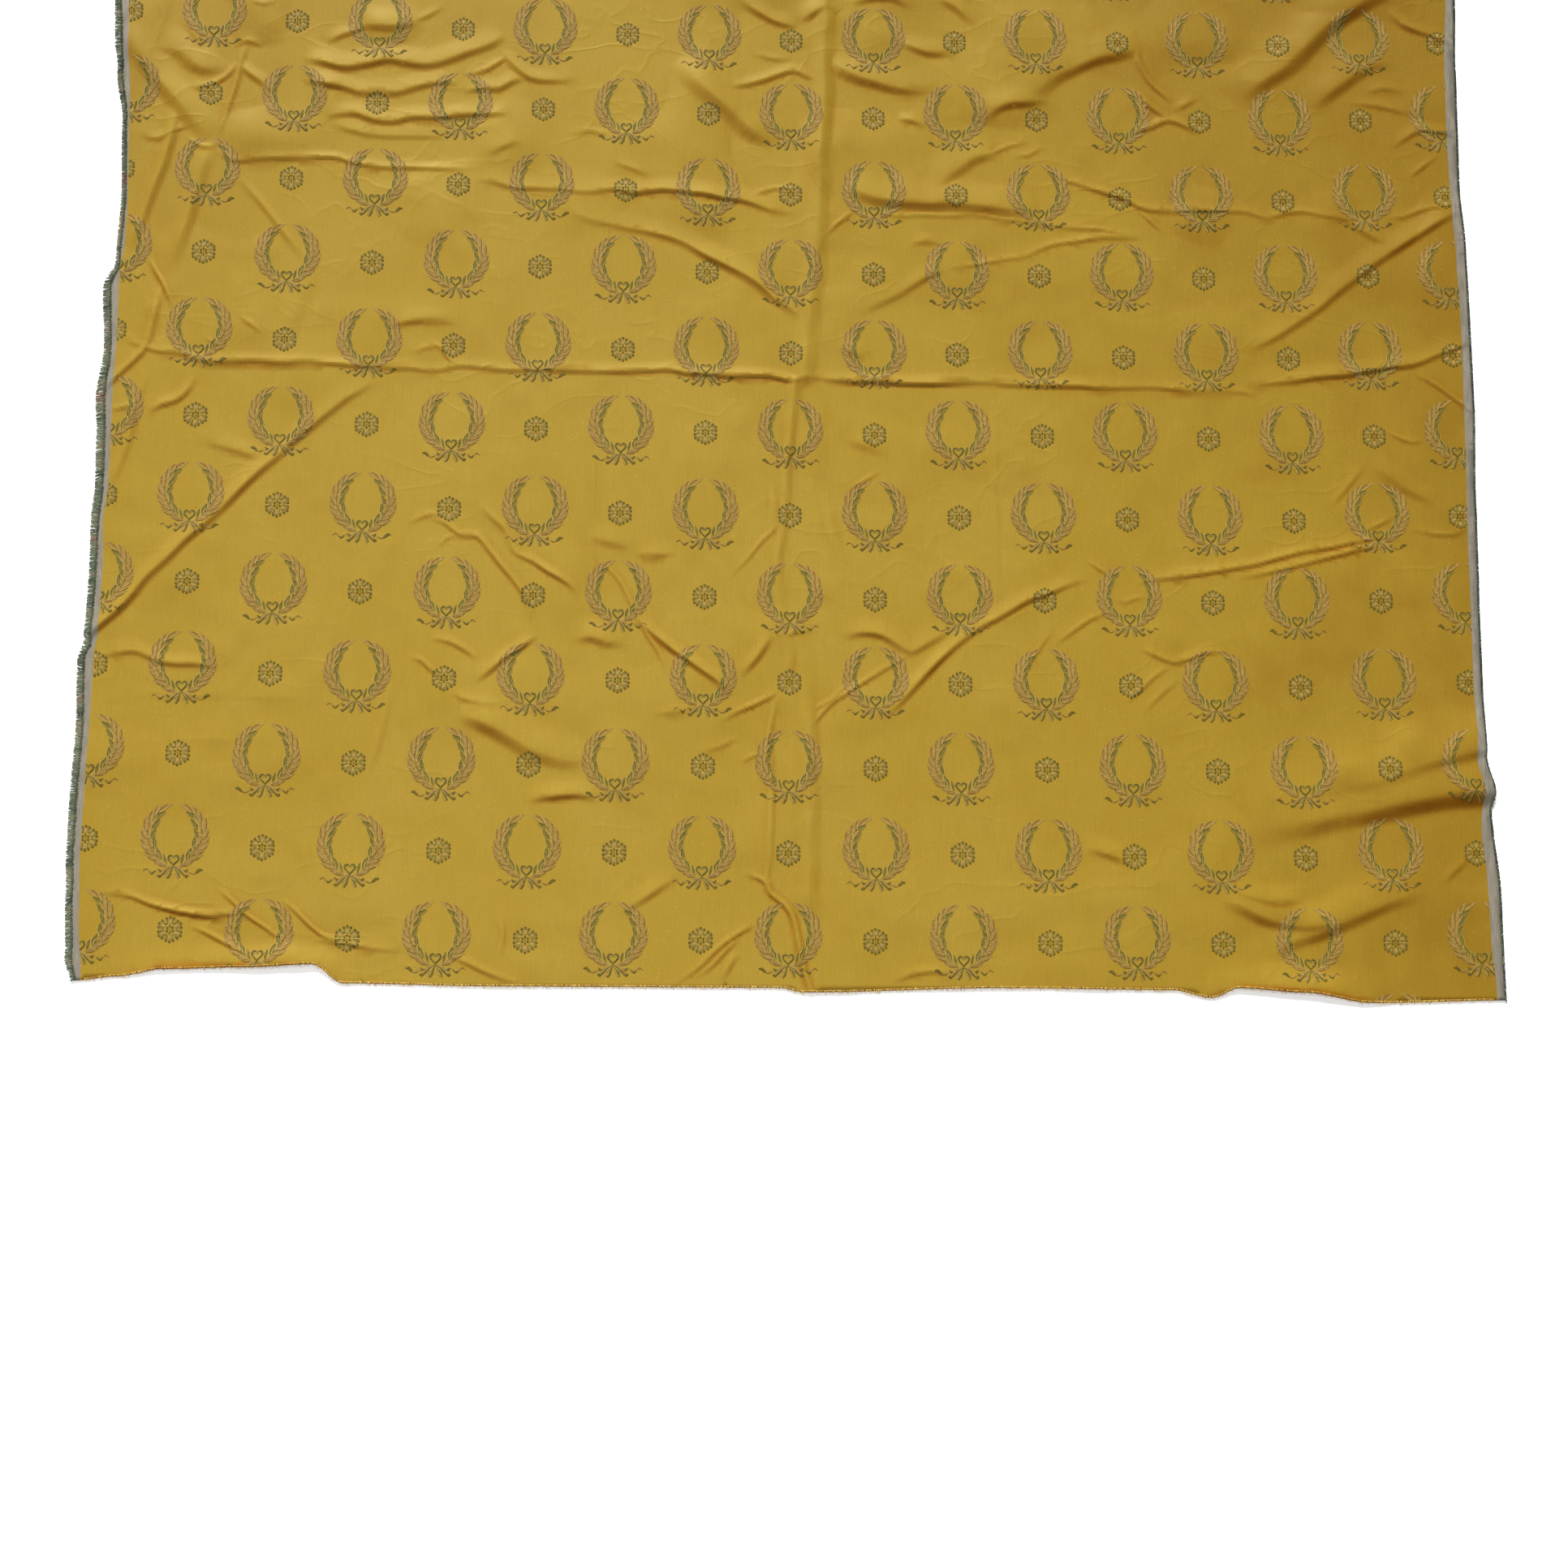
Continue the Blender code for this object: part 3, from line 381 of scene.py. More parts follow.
lie = {
    "blend": 3.0,           # how softly folds that meet run into each other
    # of a rounded crease and of a keen one:
    "scale": (0.9, 0.48),       # height, in its own rise
    "evenSide": (0.9, 0.46),   # how far it falls away on both sides, in its own width
    "gentler": (0.5, 0.3),      # and how much farther on the side that it leans back to
    "leans": (-0.2, 0.98),
    "keenPower": 1.6,       # how sharply a keen one is creased along its crest
    "stationGap": 7.0,      # spacing of the points that a crease's smooth line is drawn through
    "wander": 1.2,          # how far a crest strays from its line
    "wanderSize": 24.0,
    "uneven": 0.25,         # how much a crease's height varies along it
    "unevenSize": 30.0,
    "slack": 1.3,           # height of the soft hollows between the creases
    "slackSize": 62.0,
    "slackUp": 1.3,         # how much higher they are near the top end
    "ripple": 0.38,         # and of the small ones
    "rippleSize": 21.0,
}


def smoothRoute(stations):
    # a smooth line through a crease's stations
    rows = np.array(stations, float)
    rows = np.vstack([2.0 * rows[0] - rows[1], rows, 2.0 * rows[-1] - rows[-2]])
    made = []
    for a, b, c, d in zip(rows, rows[1:], rows[2:], rows[3:]):
        count = max(2, round(np.hypot(*(c - b)[:2]) / lie["stationGap"]))
        for t in np.arange(count) / count:
            third = 3.0 * (b - c) + d - a
            second = 2.0 * a - 5.0 * b + 4.0 * c - d + t * third
            made.append(b + 0.5 * t * (c - a + t * second))
    return np.array([*made, rows[-2]])


routes = [(crease, smoothRoute(crease.route)) for crease in creaseRows]


def between(name, keen):
    low, high = lie[name]
    return low + (high - low) * keen


def creaseHeight(crease, route, x, y):
    nearest = np.full(x.shape, np.inf)
    rise, side = np.zeros(x.shape), np.zeros(x.shape)
    for (x0, y0, rise0), (x1, y1, rise1) in zip(route, route[1:]):
        dx, dy = x1 - x0, y1 - y0
        length = np.hypot(dx, dy)
        part = np.clip(((x - x0) * dx + (y - y0) * dy) / length ** 2, 0.0, 1.0)
        away = np.hypot(x - x0 - part * dx, y - y0 - part * dy)
        closer = away < nearest
        nearest[closer] = away[closer]
        rise[closer] = (rise0 + (rise1 - rise0) * part)[closer]
        # how much this side of the line is the one that it leans back to, from -1 to 1
        leans = (dx * lie["leans"][1] - dy * lie["leans"][0]) / length
        side[closer] = (np.clip((dx * (y - y0) - dy * (x - x0)) / length / 1.5, -1.0, 1.0) * leans)[closer]
    reach = crease.width * (between("evenSide", crease.keen) + between("gentler", crease.keen) * side)
    slope = np.clip(nearest / reach, 0.0, 1.0)
    soft = np.cos(0.5 * pi * slope) ** 2
    sharp = (1.0 - slope) ** lie["keenPower"]
    return np.maximum(rise, 0.0) * between("scale", crease.keen) * (soft + (sharp - soft) * crease.keen)


upperPart = {"from": 640.0, "over": 200.0}     # where the upper part begins, and how soon it is full


def clothHeight(across, along):
    # height of the cloth's underside above the surface that it lies on
    size = lie["wanderSize"]
    x = across + lie["wander"] * softNoise(across, along, size, 11)
    y = along + lie["wander"] * softNoise(across, along, size, 12)
    total = np.zeros(across.shape)
    for crease, route in routes:
        reach = crease.width * (between("evenSide", crease.keen) + between("gentler", crease.keen)) + 1.0
        low, high = route.min(0) - reach, route.max(0) + reach
        near = (x > low[0]) & (x < high[0]) & (y > low[1]) & (y < high[1])
        if near.any():
            total[near] += creaseHeight(crease, route, x[near], y[near]) ** lie["blend"]
    height = total ** (1.0 / lie["blend"])
    height *= 1.0 + lie["uneven"] * softNoise(across, along, lie["unevenSize"], 13)
    upper = np.clip((along - upperPart["from"]) / upperPart["over"], 0.0, 1.0)
    slack = lie["slack"] * (1.0 + lie["slackUp"] * upper) * softNoise(across, along, lie["slackSize"], 14)
    slack += lie["ripple"] * softNoise(across, along, lie["rippleSize"], 15)
    return np.maximum(height + np.maximum(slack, 0.0), 0.0)


# the sheet

sheet = {
    "thickness": 1.2,
    "rimSpacing": 3.0,
    "faceSteps": (7.2, 3.6, 1.8),       # spacing of its points, the finer ones only where folds need them
    "faceError": 0.09,
    "backSteps": (16.0, 8.0, 4.0),
    "backError": 0.45,
    "bendReach": 3.0,       # how far around a point its hollow or crest is felt
    "bendFull": 0.55,       # and the bend at which the painted shade in the hollows and the painted highlight on the crests show in full
    "fallFull": 0.5,        # slope down the length, away from the light, at which the painted shade on that side shows in full
}


def leftOut(along):
    return -ease(along, leftEdge, "along", "out")


def rightOut(along):
    return ease(along, rightEdge, "along", "out")


def leftGold(along):
    return -ease(along, leftGround, "along", "out")


def rightGold(along):
    return ease(along, rightGround, "along", "out")


def lowEnd(across):
    return ease(across, cutEnd, "across", "along")


def faceHeight(across, along):
    return clothHeight(across, along) + sheet["thickness"]


def spaced(first, last, spacing):
    return np.linspace(first, last, ceil(abs(last - first) / spacing) + 1)


def outline():
    # the cloth's edge, anticlockwise from the lower left corner
    gap = sheet["rimSpacing"]
    lower = spaced(cutEnd[0].across, cutEnd[-1].across, gap)
    right = spaced(rightEdge[0].along, clothLength, gap)[1:]
    upper = spaced(rightEdge[-1].out, -leftEdge[-1].out, gap)[1:]
    left = spaced(clothLength, leftEdge[0].along, gap)[1:-1]
    return np.concatenate([
        np.column_stack([lower, lowEnd(lower)]),
        np.column_stack([rightOut(right), right]),
        np.column_stack([upper, np.full(len(upper), clothLength)]),
        np.column_stack([leftOut(left), left]),
    ])


def seenFrom(coarse, rows, columns, stride):
    # a coarse grid of heights, read at every point of the fine one
    full = np.stack([np.interp(rows, rows[::stride], line) for line in coarse.T], 1)
    return np.stack([np.interp(columns, columns[::stride], line) for line in full], 0)


def grown(mask, cells):
    for _ in range(cells):
        mask = mask | np.roll(mask, 1, 0) | np.roll(mask, -1, 0)
        mask = mask | np.roll(mask, 1, 1) | np.roll(mask, -1, 1)
    return mask


gridReach = (672.0, 1024.0)     # to each side and along, just past the cloth


def neededPoints(steps, error):
    # the widest spacing everywhere, and finer points wherever it would miss the folds
    finest, stride = steps[-1], round(steps[0] / steps[-1])
    halfRows = ceil(gridReach[0] / steps[0]) * stride
    columnsCount = ceil(gridReach[1] / steps[0]) * stride
    rows, columns = np.arange(-halfRows, halfRows + 1), np.arange(columnsCount + 1)
    across, along = np.meshgrid(rows * finest, columns * finest, indexing="ij")
    height = clothHeight(across, along)
    kept = np.zeros(height.shape, bool)
    kept[::stride, ::stride] = True
    while stride > 1:
        missed = np.abs(seenFrom(height[::stride, ::stride], rows, columns, stride) - height) > error
        stride //= 2
        finer = np.zeros(height.shape, bool)
        finer[::stride, ::stride] = True
        kept |= finer & grown(missed, stride)
    across, along = across[kept], along[kept]
    margin = 0.6 * finest
    free = (along > lowEnd(across) + margin) & (along < clothLength - margin)
    free &= (across > leftOut(along) + margin) & (across < rightOut(along) - margin)
    for line in (leftGold, rightGold):
        free &= np.abs(across - line(along)) > margin
    return np.column_stack([across, along])[free]


def flatMesh(steps, error):
    # triangles over the flat cloth, with edges along its rim and along both sides of the gold ground
    rim = outline()
    points = [rim]
    edges = [(k, (k + 1) % len(rim)) for k in range(len(rim))]
    count = len(rim)
    for line in (leftGold, rightGold):
        start = lowEnd(line(np.array([20.0])))[0] + 0.6
        along = spaced(start, clothLength - 0.6, sheet["rimSpacing"])
        points.append(np.column_stack([line(along), along]))
        edges += [(k, k + 1) for k in range(count, count + len(along) - 1)]
        count += len(along)
    points.append(neededPoints(steps, error))
    flat = [Vector(point) for point in np.concatenate(points)]
    innerFaces, same = 1, 0.01
    flat, _, faces, *_ = delaunay_2d_cdt(flat, edges, [], innerFaces, same)
    return np.array([tuple(point) for point in flat]), np.array(faces), len(rim)


def bend(points):
    # painted fold shading, from -1 for a painted highlight on a crest to 1 for painted shade in a hollow or on
    # a side that falls steeply down the length, away from the light
    reach = sheet["bendReach"]
    right, up, left, down = (clothHeight(*(points + (reach * cos(turn), reach * sin(turn))).T) for turn in
                             (0.0, 0.5 * pi, pi, 1.5 * pi))
    paintedCreaseShade = ((right + up + left + down) / 4.0 - clothHeight(*points.T)) / sheet["bendFull"]
    slopeAwayShade = np.maximum(up - down, 0.0) / (2.0 * reach) / sheet["fallFull"]
    return np.clip(np.maximum(paintedCreaseShade, slopeAwayShade), -1.0, 1.0)


def makeSheet(finishes):
    face, faceFaces, rimCount = flatMesh(sheet["faceSteps"], sheet["faceError"])
    back, backFaces, _ = flatMesh(sheet["backSteps"], sheet["backError"])
    rim = np.arange(rimCount)
    ahead = np.roll(rim, -1)
    backFaces = backFaces[:, ::-1] + len(face)
    rimFaces = np.column_stack([rim + len(face), ahead + len(face), ahead, rim])
    points = np.concatenate([
        inFrame(*face.T, faceHeight(*face.T)),
        inFrame(*back.T, clothHeight(*back.T)),
    ])
    mesh = bpy.data.meshes.new("satin_length")
    mesh.from_pydata(points.tolist(), [], faceFaces.tolist() + backFaces.tolist() + rimFaces.tolist())
    across, along = face[faceFaces].mean(1).T
    selvedge = (across < leftGold(along)) | (across > rightGold(along))
    backFinish, rimFinish = 2, 0
    slots = [*selvedge.astype(int), *[backFinish] * len(backFaces), *[rimFinish] * len(rimFaces)]
    mesh.polygons.foreach_set("material_index", slots)
    smooth = np.ones(len(mesh.polygons), bool)
    smooth[-len(rimFaces):] = False
    mesh.polygons.foreach_set("use_smooth", smooth)
    # the painted fold shading and the painted shade at the cut end, kept on the face's points
    for name, values in (("bend", bend(face)), (cutEndGlow["name"], cutEndShadeStrength(face))):
        layer = mesh.attributes.new(name, "FLOAT", "POINT")
        layer.data.foreach_set("value", np.append(values, np.zeros(len(back))).astype(np.float32))
    for finish in finishes:
        mesh.materials.append(finish)
    print("silk: face", len(faceFaces), "back", len(backFaces), "triangles")
    return place(mesh, "satin_length")


# painted warm shade along the cut end, strongest where the end stands off the surface
cutEndGlow = {
    "name": "cutEndGlow",
    "depth": 4.6,           # how far in from the cut end the painted shade reaches
    "raised": ((-612, -470, 1.0), (395, 560, 0.8), (640, 664, 0.5)),    # from, to and strength
    "elsewhere": 0.3,
}


def cutEndShadeStrength(points):
    # how strong the painted shade is at each point, fading in from the cut end
    across, along = points.T
    strength = np.full(len(points), cutEndGlow["elsewhere"])
    for first, last, most in cutEndGlow["raised"]:
        near = np.clip(np.minimum(across - first, last - across) / 30.0, 0.0, 1.0)
        strength = np.maximum(strength, most * near)
    depth = cutEndGlow["depth"] * (0.35 + strength) * (1.0 + 0.4 * softNoise(across, along, 11.0, 21))
    return np.clip(strength * (1.0 - (along - lowEnd(across)) / depth), 0.0, 1.0)


def place(mesh, name):
    made = bpy.data.objects.new(name, mesh)
    bpy.context.scene.collection.objects.link(made)
    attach(made, "root")
    return made


# the brocade

weave = {
    "repeat": 162.5,        # one wreath to the next, across
    "rise": 163.6,          # and along
    "middle": -3.0,         # across, of the middle column
    "firstRow": 54.0,       # along, of the lowest full row
    "columns": 17,          # half repeats across
    "rows": range(-1, 14),  # half repeats along
    "lift": {"beige": 0.2, "olive": 0.305, "brown": 0.3505, "dark": 0.4255, "pale": 0.4755},
    "layer": 0.002,         # and each float of one weft above the last
    "wobble": 0.5,          # how far a motif strays from its place
}
BowRow = namedtuple("BowRow", "across lower upper")     # how far the wefts bow up, at the ends of the length
weftBow = [
    BowRow(-655, 9, 13), BowRow(-570, 7, 11), BowRow(-490, 1, 6), BowRow(-410, 0, 3), BowRow(-250, 0, 0),
    BowRow(0, 1, -4), BowRow(250, 0, -1), BowRow(490, -1, 1), BowRow(575, 2, 6), BowRow(655, 6, 8),
]

wreath = {
    "knot": -23.7,
    "bow": 5.9,             # middle of the heart-shaped bow above the knot
    "bowScale": (0.365, 0.385),
    "ribbon": 0.62,         # inner edge of the bow's ribbon, as a share of its outer edge
    "outline": 0.42,        # width of the pale lines beside the leaves
}
LeafRow = namedtuple("LeafRow", "kind base tip width bow")
# leaves of the right branch about the motif's middle; bow is how far each bulges to the left of its run
leafRows = [
    LeafRow("tan", (5.2, -22.6), (17.2, -20.6), 2.6, -0.5),
    LeafRow("tan", (9.0, -20.6), (21.0, -16.2), 3.2, -0.6),
    LeafRow("tan", (13.4, -17.4), (27.0, -12.2), 3.4, -0.8),
    LeafRow("tan", (17.0, -13.0), (29.8, -5.6), 3.7, -0.8),
    LeafRow("tan", (21.4, -8.6), (31.9, -0.6), 3.8, -0.8),
    LeafRow("tan", (24.4, -3.6), (32.4, 5.6), 3.7, -0.7),
    LeafRow("tan", (25.6, 1.6), (30.6, 13.4), 3.9, -0.7),
    LeafRow("tan", (26.8, 9.0), (25.8, 25.4), 3.9, -0.9),
    LeafRow("tan", (23.4, 17.0), (19.6, 30.8), 3.7, -0.8),
    LeafRow("tan", (19.2, 24.2), (14.2, 34.0), 3.4, -0.6),
    LeafRow("tan", (15.4, 27.0), (3.2, 35.3), 3.6, -0.9),
    LeafRow("tan", (13.2, -17.0), (20.4, -8.0), 3.2, 0.5),
    LeafRow("tan", (16.8, -12.0), (23.6, -1.4), 3.6, 0.6),
    LeafRow("tan", (20.6, -6.0), (25.6, 5.0), 3.8, 0.5),
    LeafRow("tan", (24.0, 1.6), (25.0, 13.6), 3.5, 0.4),
    LeafRow("tan", (24.2, 8.0), (22.4, 22.0), 3.6, 0.4),
    LeafRow("tan", (21.2, 15.6), (18.0, 27.6), 3.4, 0.4),
    LeafRow("olive", (6.8, -20.8), (9.3, -11.4), 2.5, 0.3),
    LeafRow("olive", (11.8, -18.4), (16.0, -6.1), 4.2, 0.5),
    LeafRow("olive", (18.4, -8.0), (18.2, 4.4), 4.2, 0.2),
    LeafRow("olive", (22.8, 1.2), (17.2, 11.7), 4.0, -0.2),
    LeafRow("olive", (20.6, 11.4), (13.8, 20.8), 4.0, -0.3),
    LeafRow("olive", (19.2, 21.0), (9.2, 27.6), 3.8, -0.5),
]
kinds = {
    "tan": {"body": "beige", "near": "beige", "far": "brown"},
    "olive": {"body": "olive", "near": "dark", "far": "dark"},
}
RibbonRow = namedtuple("RibbonRow", "sides weft points widths")
both, leftOnly, rightOnly, curled, plain = (-1, 1), (-1,), (1,), ("curled",), ("plain",)
# ribbons on the right of the knot, measured from it, and on the left turned over; every other row of wreaths
# has its curled end on the left and its plain dark end on the right
ribbonRows = [
    RibbonRow(both, "beige", [(0.9, -1.2), (2.6, -4.6), (4.4, -8.2), (5.8, -10.6)], [0.8, 2.4, 3.4, 3.0]),
    RibbonRow(rightOnly, "olive", [(1.2, -1.2), (3.4, -4.4), (5.2, -7.6), (6.2, -10.2)], [0.7, 1.5, 1.9, 1.4]),
    RibbonRow(leftOnly, "olive", [(0.8, -1.2), (2.0, -4.4), (2.8, -7.6), (5.0, -10.8)], [0.7, 1.6, 2.1, 1.5]),
    RibbonRow(rightOnly, "dark", [(1.6, -1.6), (3.9, -4.6), (5.8, -8.0), (6.4, -9.8)], [0.4, 0.7, 0.9, 0.6]),
    RibbonRow(leftOnly, "dark", [(0.7, -1.6), (1.7, -4.4), (2.3, -7.4), (4.6, -10.9)], [0.4, 0.8, 1.1, 0.9]),
    RibbonRow(both, "beige", [(1.6, 0.4), (6.2, -1.4), (9.8, -4.6), (12.2, -7.6)], [1.0, 2.2, 2.2, 1.6]),
    RibbonRow(both, "olive", [(-0.6, 0.3), (3.8, -2.0), (7.6, -5.4), (10.8, -8.4)], [1.0, 1.2, 1.4, 1.4]),
    RibbonRow(both, "dark", [(0.8, -0.3), (4.0, -2.2), (7.7, -5.6), (10.6, -8.5)], [0.4, 0.6, 0.7, 0.6]),
    RibbonRow(both, "pale", [(1.3, -1.1), (4.2, -3.6), (6.6, -6.2)], [0.4, 0.8, 0.3]),
    RibbonRow(both, "dark", [(10.6, -8.4), (12.2, -9.3), (14.2, -8.0)], [1.1, 2.0, 1.3]),
    RibbonRow(both, "pale", [(2.4, 1.4), (5.6, 0.4), (8.4, -1.4)], [0.3, 0.6, 0.3]),
    RibbonRow(both, "dark", [(10.2, -3.6), (11.9, -4.3), (13.4, -2.0)], [1.0, 2.1, 0.6]),
    RibbonRow(both, "brown", [(6.6, 2.2), (9.2, 2.7), (12.0, 2.2)], [0.4, 1.1, 0.4]),
    RibbonRow(curled, "beige", [(13.8, -2.2), (16.2, -4.2), (19.2, -6.4), (21.6, -4.2),
                               (24.6, -2.0), (27.6, -3.6)],
              [0.7, 1.4, 1.5, 1.3, 1.3, 0.4]),
    RibbonRow(curled, "dark", [(16.4, -3.6), (18.3, -5.9), (19.9, -6.5), (21.4, -4.5)], [0.4, 1.3, 1.4, 0.5]),
    RibbonRow(curled, "brown", [(22.6, -2.8), (25.0, -2.0), (27.4, -4.0)], [0.3, 0.7, 0.3]),
    RibbonRow(plain, "beige", [(13.2, -4.0), (16.6, -5.8), (19.0, -6.5), (21.0, -5.8)], [0.8, 1.3, 1.3, 1.2]),
    RibbonRow(plain, "brown", [(15.4, -5.6), (17.4, -6.6), (19.6, -6.7)], [0.3, 0.5, 0.3]),
    RibbonRow(plain, "dark", [(20.4, -6.0), (22.4, -4.4), (24.5, -2.5), (27.3, -2.7)], [0.6, 2.3, 2.4, 0.7]),
]

rosette = {
    "lobes": 6,
    "dots": ((0.0, 11.0), (-18.0, 10.2), (18.0, 10.2)),     # turn from the lobe's middle, distance out
    "dotSize": (2.9, 2.5),
    "petal": ((4.9, 1.4), (6.4, 3.5), (8.0, 4.0), (9.8, 2.6)),     # distance out and width
    "side": ((9.6, 18.5), (7.6, 22.0), (5.6, 28.0)),     # distance out and turn
    "eye": 2.9,
    "eyeSize": (2.2, 1.9),
}


class Motif:
    # faces of floating weft, in millimetres about the motif's middle
    def __init__(self):
        self.points = {weft: [] for weft in weave["lift"]}
        self.faces = {weft: [] for weft in weave["lift"]}
        self.layer = dict.fromkeys(weave["lift"], 0.0)

    def strip(self, weft, left, right):
        # a strip between two lines of points, which may meet at its ends
        points, faces = self.points[weft], self.faces[weft]
        first, height = len(points), self.layer[weft]
        self.layer[weft] += weave["layer"]
        for a, b in zip(left, right):
            points.extend([(*a, height), (*b, height)])
        for k in range(len(left) - 1):
            a, b, c, d = first + 2 * k, first + 2 * k + 1, first + 2 * k + 3, first + 2 * k + 2
            faces.extend([(a, b, c), (a, c, d)])

    def line(self, weft, points, widths):
        points = np.array(points, float)
        run = np.gradient(points, axis=0)
        run /= np.hypot(*run.T)[:, None]
        side = np.column_stack([-run[:, 1], run[:, 0]]) * np.array(widths, float)[:, None] / 2.0
        self.strip(weft, points + side, points - side)

    def leaf(self, row, side):
        # a leaf of the right branch, or turned over to the left one
        kind = kinds[row.kind]
        base, tip = np.array(row.base), np.array(row.tip)
        run = (tip - base) / np.hypot(*(tip - base))
        out = np.array([-run[1], run[0]])
        parts = np.array([0.0, 0.1, 0.27, 0.48, 0.7, 0.87, 1.0])
        middle = base + np.outer(parts, tip - base) + np.outer(np.sin(pi * parts) * row.bow, out)
        half = row.width / 2.0 * np.array([0.1, 0.5, 0.9, 1.0, 0.76, 0.4, 0.02])
        # the side nearer to the wreath's middle, and the far one
        near, far = middle + np.outer(half, out), middle - np.outer(half, out)
        turnedOver = (side, 1.0)
        self.strip(kind["body"], near * turnedOver, far * turnedOver)
        inner, outer = middle + np.outer(half * 0.45, out), middle - np.outer(half * 0.35, out)
        if kind["near"] != kind["body"]:
            self.strip(kind["near"], (near * turnedOver)[1:], (inner * turnedOver)[1:])
        last = 5 if row.kind == "tan" else 7
        self.strip(kind["far"], (outer * turnedOver)[:last], (far * turnedOver)[:last])
        line = near + out * wreath["outline"] * 0.3
        widths = wreath["outline"] * np.array([1.0, 1.1, 1.2, 1.2, 1.0, 0.8, 0.5])
        self.line("pale", line * turnedOver, widths)

    def oval(self, weft, centre, heading, length, width):
        angle = radians(heading)
        run, side = np.array([cos(angle), sin(angle)]), np.array([-sin(angle), cos(angle)])
        parts = np.array([-0.5, -0.25, 0.25, 0.5]) * length
        half = width / 2.0 * np.array([0.25, 0.95, 0.95, 0.25])
        middle = np.array(centre) + np.outer(parts, run)
        self.strip(weft, middle + np.outer(half, side), middle - np.outer(half, side))


def turned(degrees):
    return np.array([cos(radians(degrees)), sin(radians(degrees))])


def heart(share):
    # the bow's outline about its own middle, anticlockwise from the notch, shrunk to a share of its size
    turns = np.linspace(0.0, 2.0 * pi, 21)
    x = -16.0 * np.sin(turns) ** 3
    y = 13.0 * np.cos(turns) - 5.0 * np.cos(2.0 * turns) - 2.0 * np.cos(3.0 * turns) - np.cos(4.0 * turns)
    return np.column_stack([x, y + 2.0]) * wreath["bowScale"] * share


def wreathMotif(curledSide):
    motif = Motif()
    for side in both:
        for row in leafRows:
            motif.leaf(row, side)
        for ribbon in ribbonRows:
            end = curled if side == curledSide else plain
            if ribbon.sides == end or side in ribbon.sides:
                points = [(side * x, y + wreath["knot"]) for x, y in ribbon.points]
                motif.line(ribbon.weft, points, ribbon.widths)
    bow = np.array([0.0, wreath["knot"] + wreath["bow"]])
    motif.strip("olive", heart(1.0) + bow, heart(wreath["ribbon"]) + bow)
    motif.strip("dark", heart(0.95) + bow, heart(wreath["ribbon"] + 0.1) + bow)
    motif.strip("pale", heart(wreath["ribbon"]) + bow, heart(wreath["ribbon"] - 0.07) + bow)
    motif.oval("olive", (0.0, wreath["knot"]), 0.0, 2.2, 1.6)
    return motif


def rosetteMotif():
    motif = Motif()
    size = rosette
    for lobe in range(size["lobes"]):
        middle = 90.0 + lobe * 360.0 / size["lobes"]
        gap = middle + 180.0 / size["lobes"]
        out, widths = np.array(size["petal"]).T
        motif.line("beige", np.outer(out, turned(middle)), widths)
        for side in both:
            bar = [turned(middle + side * turn) * out for out, turn in size["side"]]
            motif.line("olive", bar, [1.6, 1.4, 1.6])
        for turn, out in size["dots"]:
            centre, heading = turned(middle + turn) * out, middle + turn
            motif.oval("olive", centre, heading, *size["dotSize"])
            dotLength, dotWidth = size["dotSize"]
            motif.oval("dark", centre + turned(heading) * 0.5, heading, dotLength * 0.62, dotWidth)
        motif.oval("dark", turned(middle) * size["eye"], middle, *size["eyeSize"])
        motif.line("pale", np.outer([5.4, 6.6, 8.8], turned(middle)), [0.5, 1.0, 0.5])
        motif.line("pale", np.outer([6.9, 8.0, 9.6], turned(gap)), [0.6, 0.9, 0.5])
        motif.line("pale", np.outer([3.3, 4.0, 4.7], turned(gap)), [0.5, 1.0, 0.5])
    motif.oval("olive", (0.0, 0.0), 0.0, 1.5, 1.5)
    return motif


def motifPlace(column, row):
    across = weave["middle"] + (column - 8) * weave["repeat"] / 2.0
    along = weave["firstRow"] + row * weave["rise"] / 2.0
    lower, upper = ease(across, weftBow, "across", "lower"), ease(across, weftBow, "across", "upper")
    return across, along + lower + (upper - lower) * along / clothLength


def makeBrocade(finishes):
    rng = np.random.default_rng(31)
    wreaths = {side: wreathMotif(side) for side in both}
    small = rosetteMotif()
    points = {weft: [] for weft in weave["lift"]}
    faces = {weft: [] for weft in weave["lift"]}
    counts = dict.fromkeys(weave["lift"], 0)
    for row in weave["rows"]:
        for column in range(weave["columns"]):
            motif = small if (column + row) % 2 else wreaths[1 if row % 2 == 0 else -1]
            across, along = motifPlace(column, row)
            shift = np.array([*rng.uniform(-1.0, 1.0, 2) * weave["wobble"], 0.0])
            for weft in weave["lift"]:
                if motif.faces[weft]:
                    points[weft].append(np.array(motif.points[weft]) + (across, along, 0.0) + shift)
                    faces[weft].append(np.array(motif.faces[weft]) + counts[weft])
                    counts[weft] += len(motif.points[weft])
    made = []
    for weft, lift in weave["lift"].items():
        flat, corners = clipped(np.concatenate(points[weft]), np.concatenate(faces[weft]))
        across, along, layer = flat.T
        height = faceHeight(across, along) + lift + layer
        mesh = bpy.data.meshes.new("brocade_" + weft)
        mesh.from_pydata(inFrame(across, along, height).tolist(), [], corners.tolist())
        mesh.materials.append(finishes[weft])
        piece = place(mesh, "brocade_" + weft)
        made.append(piece)
        print("silk:", weft, len(corners), "faces")
    return made


